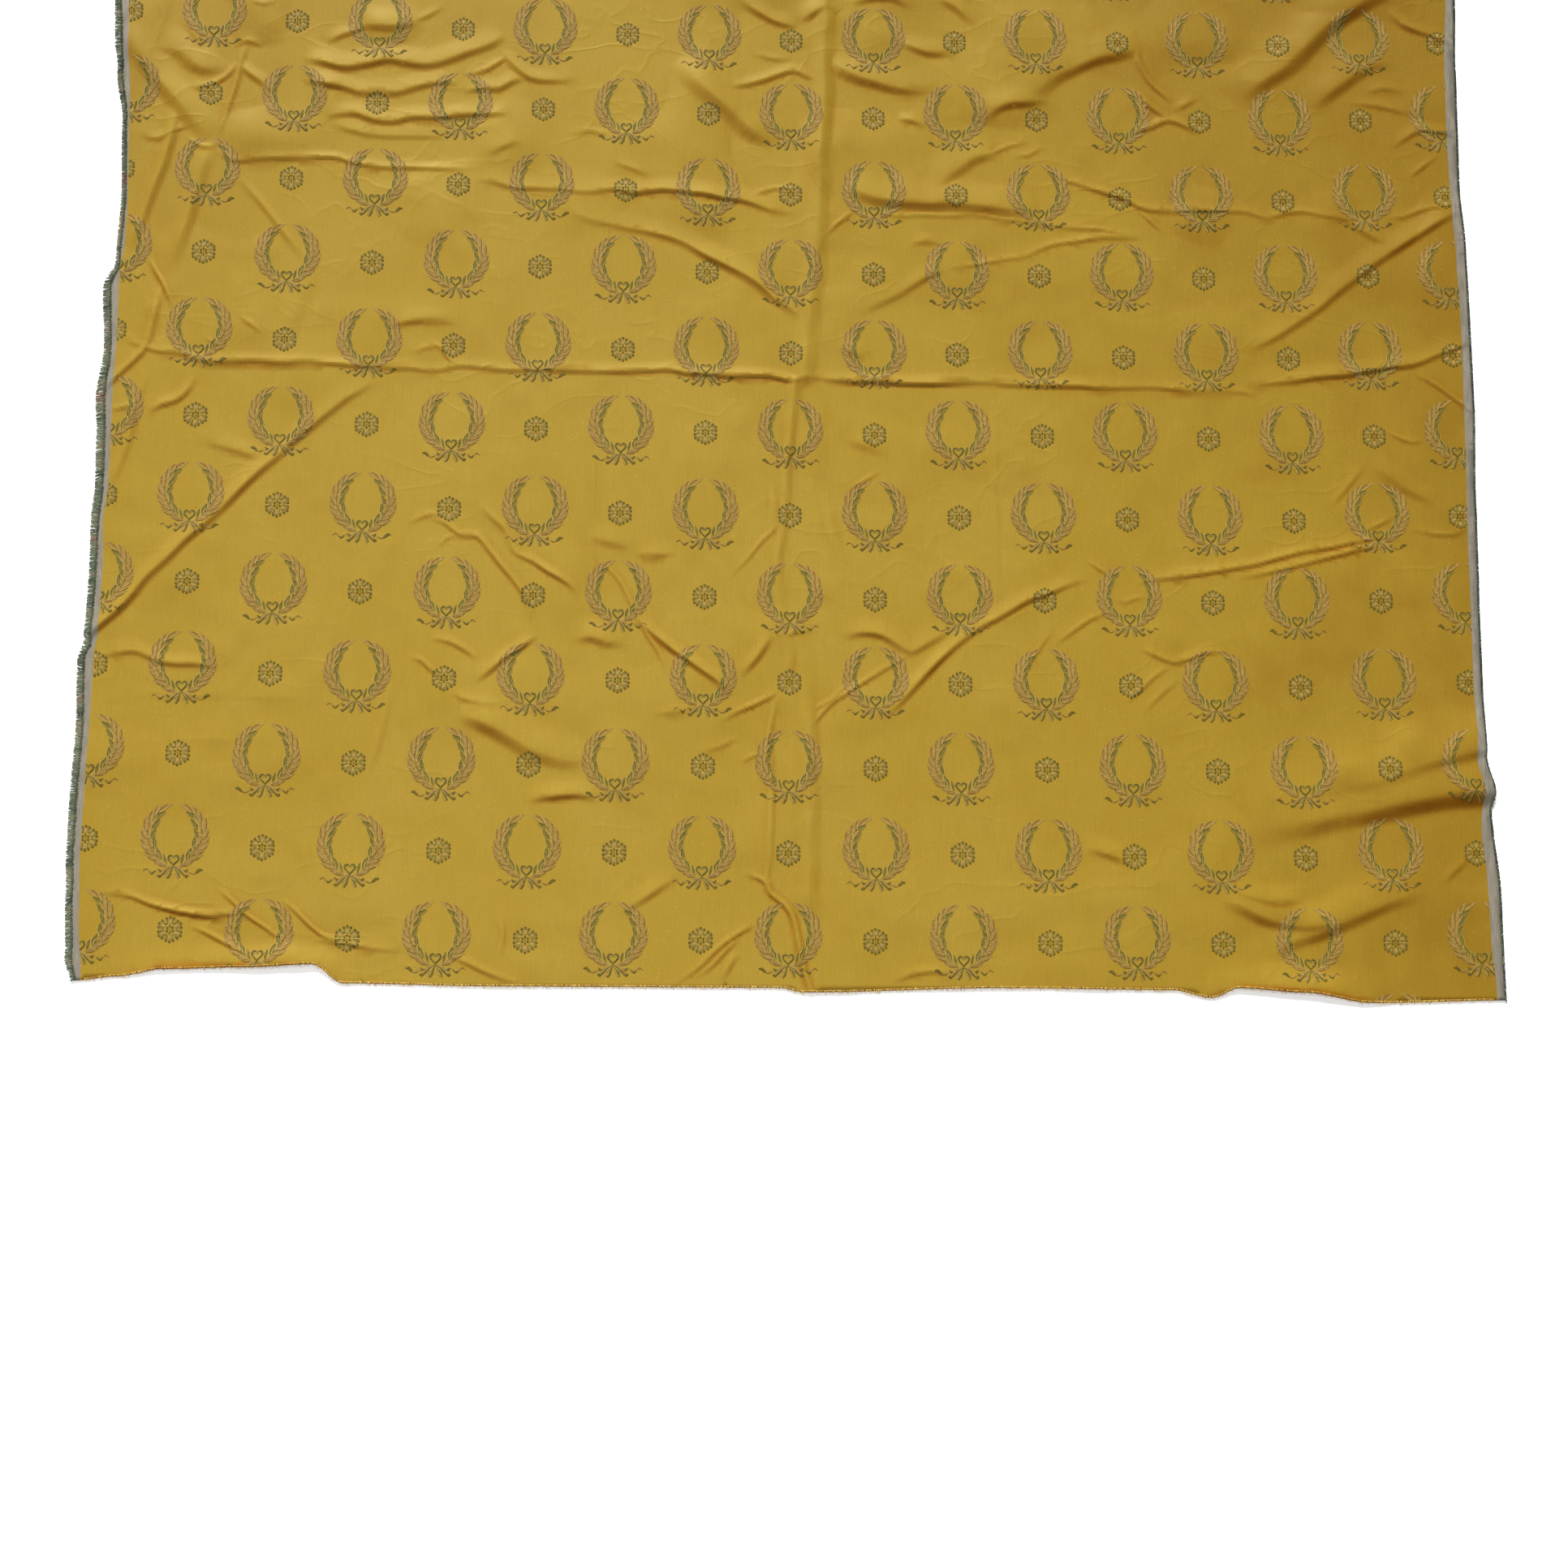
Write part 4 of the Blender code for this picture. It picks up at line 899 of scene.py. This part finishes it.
def clipped(flat, corners):
    # cuts the brocade off at the selvedges and at both ends of the length
    across, along, layer = flat.T
    left, right = leftGold(along), rightGold(along)
    low, high = lowEnd(across) + 1.0, np.full(len(along), clothLength - 0.5)
    within = (across > left) & (across < right) & (along > low) & (along < high)
    corners = corners[within[corners].sum(1) >= 2]
    flat = np.column_stack([np.clip(across, left, right), np.clip(along, low, high), layer])
    used, corners = np.unique(corners, return_inverse=True)
    flat, corners = flat[used], corners.reshape(-1, 3)
    a, b, c = (flat[corners[:, k]] for k in range(3))
    size = (b - a)[:, 0] * (c - a)[:, 1] - (b - a)[:, 1] * (c - a)[:, 0]
    turnedOver = size < 0.0
    corners[turnedOver] = corners[turnedOver][:, ::-1]
    smallest = 0.01
    return flat, corners[np.abs(size) > smallest]


# loose threads

fringe = {
    "pitch": 0.5,
    "thread": 0.95,
    "overlap": {-1: 2.2, 1: 0.7},   # how far in over the selvedge the threads begin, left and right
    "share": {-1: 1.0, 1: 0.65},    # of the reach in the edge's table
    "slant": 3.6,
    "slantSize": 13.0,
    "shortest": 0.92,       # reach of the shortest, as a share of the longest
    "straying": 2.0,
}
fray = {
    "pitch": 0.7,
    "thread": 0.5,
    "shortest": 0.3,
    "longest": 2.8,
    "slant": 2.4,
}


def makeThreads(name, lines, widths, shades, finish):
    # three-sided threads along lines of points, in metres
    count, stations, _ = lines.shape
    run = lines[:, -1] - lines[:, 0]
    side = np.cross(run, (0.0, 0.0, 1.0))
    side /= np.linalg.norm(side, axis=1, keepdims=True)
    up = np.cross(side, run)
    up /= np.linalg.norm(up, axis=1, keepdims=True)
    corners = []
    for turn in (90.0, 210.0, 330.0):
        out = side * cos(radians(turn)) + up * sin(radians(turn))
        corners.append(lines + out[:, None, :] * widths[:, :, None] / 2.0)
    points = np.stack(corners, 2).reshape(-1, 3)
    faces = []
    for thread in range(count):
        first = thread * stations * 3
        for k in range(stations - 1):
            a = first + 3 * k
            for side in range(3):
                b = (side + 1) % 3
                faces.append((a + side, a + b, a + 3 + b, a + 3 + side))
        last = first + 3 * (stations - 1)
        faces.extend([(first + 2, first + 1, first), (last, last + 1, last + 2)])
    mesh = bpy.data.meshes.new(name)
    mesh.from_pydata(points.tolist(), [], faces)
    mesh.polygons.foreach_set("use_smooth", np.ones(len(mesh.polygons), bool))
    layer = mesh.attributes.new("shade", "FLOAT", "POINT")
    layer.data.foreach_set("value", np.repeat(shades, stations * 3).astype(np.float32))
    mesh.materials.append(finish)
    return place(mesh, name)


def makeFringe(name, table, side, finish, seed):
    # the cut ends of the pattern wefts, outside one selvedge
    rng = np.random.default_rng(seed)
    size = fringe
    along = np.arange(table[0].along + 1.0, table[-1].along - 1.0, size["pitch"])
    along += rng.uniform(-0.4, 0.4, len(along))
    edge = ease(along, table, "along", "out")
    reach = ease(along, table, "along", "reach") * rng.uniform(size["shortest"], 1.04, len(along))
    reach *= size["share"][side]
    slant = size["slant"] * softNoise(along, along * 0.0, size["slantSize"], seed)
    slant += rng.uniform(-1.0, 1.0, len(along)) * size["straying"]
    stations = np.linspace(0.0, 1.0, 4)
    start = edge - size["overlap"][side] * rng.uniform(0.5, 1.3, len(along))
    out = start[:, None] + (edge + reach - start)[:, None] * stations
    places = along[:, None] + slant[:, None] * stations ** 1.5
    under = clothHeight(side * np.minimum(out, edge[:, None]), places)
    droop = np.array([1.0, 0.9, 0.5, 0.15])
    height = under * (0.45 + 0.55 * droop) + (sheet["thickness"] + 0.35) * droop + 0.35
    height += rng.uniform(0.0, 0.35, len(along))[:, None]
    lines = inFrame((side * out).ravel(), places.ravel(), height.ravel()).reshape(len(along), -1, 3)
    widths = np.outer(rng.uniform(0.75, 1.2, len(along)) * size["thread"], [0.7, 1.0, 1.0, 0.85]) * mm
    shades = 0.5 + 0.65 * softNoise(along, along * 0.0, 7.0, seed + 1) + rng.uniform(-0.25, 0.25, len(along))
    return makeThreads(name, lines, widths, shades, finish)


def makeFray(finish):
    # broken ends of the gold warp along the raw cut
    rng = np.random.default_rng(41)
    size = fray
    across = np.arange(-647.0, 657.0, size["pitch"])
    across += rng.uniform(-0.6, 0.6, len(across))
    along = lowEnd(across)
    length = size["shortest"] + (size["longest"] - size["shortest"]) * rng.random(len(across)) ** 2.4
    slant = rng.normal(0.0, size["slant"], len(across)) + 2.0 * softNoise(across, across * 0.0, 9.0, 42)
    stations = np.linspace(0.0, 1.0, 4)
    x = across[:, None] + slant[:, None] * stations ** 1.4
    y = along[:, None] + 1.8 - (1.8 + length)[:, None] * stations
    under = clothHeight(x, np.maximum(y, along[:, None]))
    droop = np.array([1.0, 0.85, 0.5, 0.2])
    height = under * (0.3 + 0.7 * droop) + (sheet["thickness"] + 0.25) * droop + 0.3
    height += rng.uniform(0.0, 0.5, len(across))[:, None] * stations
    lines = inFrame(x.ravel(), y.ravel(), height.ravel()).reshape(len(across), -1, 3)
    widths = np.outer(rng.uniform(0.7, 1.3, len(across)) * size["thread"], [1.0, 1.0, 0.8, 0.3]) * mm
    return makeThreads("cut_end_threads", lines, widths, rng.random(len(across)), finish)


# finishes

def colour(red, green, blue):
    # a display colour from 0 to 255, as the shader reads it
    parts = [value / 255.0 for value in (red, green, blue)]
    low, foot, slope, power = 0.04045, 12.92, 1.055, 2.4
    linear = [p / foot if p <= low else ((p + slope - 1.0) / slope) ** power for p in parts]
    return (*linear, 1.0)


class Wire:
    # a socket that adds its own Math nodes when it is used in a sum
    def __init__(self, finish, socket):
        self.finish, self.socket = finish, socket

    def sum(self, operation, *values):
        return self.finish.node("Math", {"operation": operation}, dict(enumerate(values)))

    def __add__(self, other):
        return self.sum("ADD", self, other)

    def __sub__(self, other):
        return self.sum("SUBTRACT", self, other)

    def __rsub__(self, other):
        return self.sum("SUBTRACT", other, self)

    def __mul__(self, other):
        return self.sum("MULTIPLY", self, other)

    __radd__, __rmul__ = __add__, __mul__

    def clamped(self, low=0.0, high=1.0):
        return self.sum("MINIMUM", self.sum("MAXIMUM", self, low), high)


class Finish:
    # one material, with its Principled shader and a way to add nodes to it
    def __init__(self, name, **fixed):
        self.material = bpy.data.materials.new(name)
        self.material.use_nodes = True
        self.tree = self.material.node_tree
        self.shader = self.tree.nodes["Principled BSDF"]
        for socket, value in fixed.items():
            self.shader.inputs[socket.replace("_", " ")].default_value = value

    def node(self, kind, settings, values, output=0):
        made = self.tree.nodes.new("ShaderNode" + kind)
        for name, value in settings.items():
            if name == "stops":
                while len(made.color_ramp.elements) < len(value):
                    made.color_ramp.elements.new(0.5)
                for element, (at, shade) in zip(made.color_ramp.elements, value):
                    element.position, element.color = at, shade
            else:
                setattr(made, name, value)
        for name, value in values.items():
            if isinstance(value, Wire):
                self.tree.links.new(value.socket, made.inputs[name])
            else:
                made.inputs[name].default_value = value
        return Wire(self, made.outputs[output])

    def feed(self, **values):
        for name, value in values.items():
            self.tree.links.new(value.socket, self.shader.inputs[name.replace("_", " ")])
        return self.material

    def place(self, scale):
        # the point on the cloth, in metres times scale each way
        point = self.node("TexCoord", {}, {}, "Object")
        return self.node("Mapping", {}, {"Vector": point, "Scale": scale})

    def noise(self, scale, detail=2.0, roughness=0.5, distortion=0.0):
        values = {"Vector": self.place(scale), "Scale": 1.0, "Detail": detail}
        values.update({"Roughness": roughness, "Distortion": distortion})
        return self.node("TexNoise", {}, values, "Fac")

    def attribute(self, name):
        return self.node("Attribute", {"attribute_name": name}, {}, "Fac")

    def mix(self, amount, first, second, blend="MIX"):
        # sockets 6 and 7 are the Mix node's two colours, and output 2 its colour
        settings = {"data_type": "RGBA", "blend_type": blend}
        return self.node("Mix", settings, {0: amount, 6: first, 7: second}, 2)

    def bump(self, height, strength, distance):
        return self.node("Bump", {}, {"Height": height, "Strength": strength, "Distance": distance})


satin = {
    "ground": colour(151, 121, 36),
    # painted light and painted shade: a lighter and a darker copy of the ground colour
    "paintedLight": colour(157, 129, 47),
    "paintedShade": colour(138, 105, 27),
    # painted shade for the hollows and for the slopes that fall away from the light
    "paintedCreaseShade": colour(134, 76, 0),
    # painted warm shade for the raised cut end
    "paintedEdgeShade": colour(150, 84, 4),
    "slub": colour(226, 204, 120),
    "roughness": 0.52,
}


def satinFinish():
    made = Finish("gold satin", IOR=1.5, Specular_IOR_Level=0.28, Specular_Tint=colour(255, 240, 150))
    point = made.node("TexCoord", {}, {}, "Object")
    across = made.node("SeparateXYZ", {}, {0: point}, "X")
    along = made.node("SeparateXYZ", {}, {0: point}, "Y")
    upper = (along * 2.0).clamped()
    patches = made.noise((7.0, 6.0, 7.0), 3.0)
    clouds = made.noise((34.0, 30.0, 34.0), 2.0)
    warp = made.noise((1300.0, 36.0, 100.0), 2.0, 0.6)
    grain = made.noise((900.0, 900.0, 900.0), 1.0)
    # painted fall-off of the light and sheen: darker towards the right, towards both sides and towards the top
    # end; the two noises below add tone that differs at random
    drift = 0.75 - across * 0.35 - across * across * 0.9 - upper * 0.36
    drift = drift + (patches - 0.5) * 0.9 + (clouds - 0.5) * 0.35
    tone = made.node("ValToRGB", {"stops": [
        (0.0, satin["paintedShade"]), (0.5, satin["ground"]), (1.0, satin["paintedLight"]),
    ]}, {"Fac": drift.clamped()})
    # painted shade in the hollows and on slopes that fall away from the light, and a painted highlight on the
    # crests
    paintedCreaseShade = made.attribute("bend")
    paintedShadeAmount = (paintedCreaseShade * 0.8).clamped()
    tone = made.mix(paintedShadeAmount, tone, satin["paintedCreaseShade"])
    paintedHighlightAmount = (paintedCreaseShade * -0.2).clamped()
    tone = made.mix(paintedHighlightAmount, tone, satin["paintedLight"])
    # painted warm shade along the cut end
    paintedEdgeShade = made.attribute(cutEndGlow["name"]).clamped()
    tone = made.mix(paintedEdgeShade, tone, satin["paintedEdgeShade"])
    thread = (warp * 0.6 + grain * 0.4).clamped()
    shade = made.node("ValToRGB", {"stops": [
        (0.3, (0.86, 0.85, 0.82, 1.0)), (0.7, (1.0, 1.0, 1.0, 1.0)),
    ]}, {"Fac": thread})
    tone = made.mix(1.0, tone, shade, "MULTIPLY")
    slubs = made.noise((520.0, 820.0, 500.0), 0.0)
    slubs = ((slubs - 0.75) * 9.0).clamped() * 0.14
    tone = made.mix(slubs, tone, satin["slub"])
    rough = satin["roughness"] + (thread - 0.5) * 0.16 + (clouds - 0.5) * 0.08
    # fine creases, where two slow noises allow them, and more of them towards the top end
    lines = made.noise((13.0, 20.0, 13.0), 2.0, 0.4, 0.3)
    ridge = (1.0 - made.node("Math", {"operation": "ABSOLUTE"}, {0: lines - 0.5}) * 16.0).clamped()
    allowed = ((patches - 0.47) * 7.0 + upper * 0.5).clamped()
    relief = thread * 0.09 + clouds * 0.13 + ridge * ridge * allowed * 0.2
    normal = made.bump(relief, 1.0, 0.001)
    return made.feed(Base_Color=tone, Roughness=rough, Normal=normal)


def selvedgeFinish():
    made = Finish("plain selvedge", Sheen_Weight=0.1, Specular_IOR_Level=0.3)
    lines = made.noise((1500.0, 60.0, 100.0), 1.0)
    blotches = made.noise((160.0, 60.0, 100.0), 2.0)
    mixed = (lines * 0.6 + blotches * 0.4).clamped()
    tone = made.node("ValToRGB", {"stops": [
        (0.3, colour(106, 100, 86)), (0.7, colour(140, 132, 116)),
    ]}, {"Fac": mixed})
    return made.feed(Base_Color=tone, Roughness=0.6 + lines * 0.2, Normal=made.bump(lines, 0.4, 0.0002))


def backFinish():
    # the reverse, where the unused pattern wefts float
    made = Finish("satin reverse", Specular_IOR_Level=0.3)
    bands = made.noise((9.0, 700.0, 100.0), 2.0)
    drift = made.noise((20.0, 12.0, 20.0), 2.0)
    tone = made.node("ValToRGB", {"stops": [
        (0.35, colour(96, 100, 58)), (0.5, colour(150, 118, 60)), (0.65, colour(178, 136, 62)),
    ]}, {"Fac": (bands * 0.7 + drift * 0.3).clamped()})
    return made.feed(Base_Color=tone, Roughness=0.7 + bands * 0.1, Normal=made.bump(bands, 0.5, 0.0003))


weftColours = {
    "beige": (colour(130, 100, 42), colour(154, 124, 62), 0.62),
    "olive": (colour(98, 86, 26), colour(126, 112, 44), 0.66),
    "brown": (colour(108, 78, 24), colour(132, 98, 42), 0.7),
    "dark": (colour(76, 64, 16), colour(104, 90, 28), 0.7),
    "pale": (colour(148, 126, 58), colour(174, 152, 82), 0.6),
}


def weftFinish(weft):
    low, high, roughness = weftColours[weft]
    made = Finish(weft + " weft", Specular_IOR_Level=0.15)
    rows = made.noise((220.0, 1700.0, 100.0), 1.0)
    spots = made.noise((420.0, 420.0, 420.0), 2.0)
    mixed = (rows * 0.5 + spots * 0.5).clamped()
    tone = made.node("ValToRGB", {"stops": [(0.36, low), (0.64, high)]}, {"Fac": mixed})
    return made.feed(Base_Color=tone, Roughness=roughness + (rows - 0.5) * 0.2,
                     Normal=made.bump(rows, 0.5, 0.0002))


def threadFinish(name, shades, roughness):
    made = Finish(name, Specular_IOR_Level=0.35, Sheen_Weight=0.2)
    mottle = made.noise((700.0, 700.0, 700.0), 2.0)
    shade = (made.attribute("shade") * 0.75 + mottle * 0.25).clamped()
    tone = made.node("ValToRGB", {"stops": shades}, {"Fac": shade})
    return made.feed(Base_Color=tone, Roughness=roughness + mottle * 0.1)


# the studio

studio = {
    "floor": colour(250, 250, 250),
    "floorGlow": 0.25,
    "floorSize": 9.0,
    "floorDrop": 0.0006,
    "surround": 0.22,
    "cameraPlace": (-0.07335557, -0.60668377, 1.90716975),
    "cameraTurn": (0.1551, -0.0350, 0.0036),
    "lens": 47.24,
    "sensor": 36.0,
}
LampRow = namedtuple("LampRow", "name kind place size power aim")
lampRows = [
    LampRow("far softbox", "SUN", (-0.8, 3.4, 2.3), (radians(17.0), 0.0), 5.12, (0.0, 0.0)),
    LampRow("top softbox", "AREA", (-0.5, -0.5, 2.5), (3.0, 2.2), 32.0, (-0.3, -0.4)),
]


def makeStudio():
    half = studio["floorSize"] / 2.0
    mesh = bpy.data.meshes.new("floor")
    low = -studio["floorDrop"]
    corners = [(-half, -half, low), (half, -half, low), (half, half, low), (-half, half, low)]
    mesh.from_pydata(corners, [], [(0, 1, 2, 3)])
    floor = Finish("pale floor")
    floor.shader.inputs["Base Color"].default_value = studio["floor"]
    floor.shader.inputs["Roughness"].default_value = 0.9
    floor.shader.inputs["Emission Color"].default_value = studio["floor"]
    floor.shader.inputs["Emission Strength"].default_value = studio["floorGlow"]
    mesh.materials.append(floor.material)
    made = bpy.data.objects.new("floor", mesh)
    bpy.context.scene.collection.objects.link(made)

    world = bpy.data.worlds.new("studio")
    bpy.context.scene.world = world
    world.use_nodes = True
    world.node_tree.nodes["Background"].inputs[0].default_value = (1.0, 1.0, 1.0, 1.0)
    world.node_tree.nodes["Background"].inputs[1].default_value = studio["surround"]
    for row in lampRows:
        light = bpy.data.lights.new(row.name, row.kind)
        if row.kind == "SUN":
            light.angle = row.size[0]
        else:
            light.shape = "RECTANGLE"
            light.size, light.size_y = row.size
        light.energy = row.power
        lamp = bpy.data.objects.new(row.name, light)
        lamp.location = row.place
        lamp.rotation_euler = (Vector((*row.aim, 0.0)) - lamp.location).to_track_quat("-Z", "Y").to_euler()
        bpy.context.scene.collection.objects.link(lamp)

    camera = bpy.data.cameras.new("camera")
    camera.sensor_width, camera.lens = studio["sensor"], studio["lens"]
    holder = bpy.data.objects.new("camera", camera)
    holder.location = studio["cameraPlace"]
    holder.rotation_euler = Euler(studio["cameraTurn"])
    bpy.context.scene.collection.objects.link(holder)
    bpy.context.scene.camera = holder
    bpy.context.scene.view_settings.view_transform = "Standard"


def main():
    makeStudio()
    say("studio ready")
    length = makeSheet([satinFinish(), selvedgeFinish(), backFinish()])
    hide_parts("satin_cloth")
    say("satin ready")
    brocade = makeBrocade({weft: weftFinish(weft) for weft in weave["lift"]})
    say("brocade ready")
    greens = [(0.0, colour(44, 54, 34)), (0.35, colour(78, 92, 64)), (0.6, colour(112, 122, 92)),
              (0.8, colour(132, 126, 92)), (0.97, colour(120, 74, 52))]
    left = makeFringe("fringe_left", leftEdge, -1, threadFinish("left fringe", greens, 0.7), 51)
    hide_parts("weft_fringe_left")
    darks = [(0.0, colour(24, 30, 20)), (0.6, colour(56, 72, 46)), (1.0, colour(120, 124, 84))]
    right = makeFringe("fringe_right", rightEdge, 1, threadFinish("right fringe", darks, 0.7), 61)
    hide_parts("weft_fringe_right")
    yellows = [(0.0, colour(160, 104, 10)), (0.4, colour(206, 160, 40)), (0.8, colour(236, 208, 104))]
    frayed = makeFray(threadFinish("frayed warp", yellows, 0.5))
    say("loose threads ready")


main()
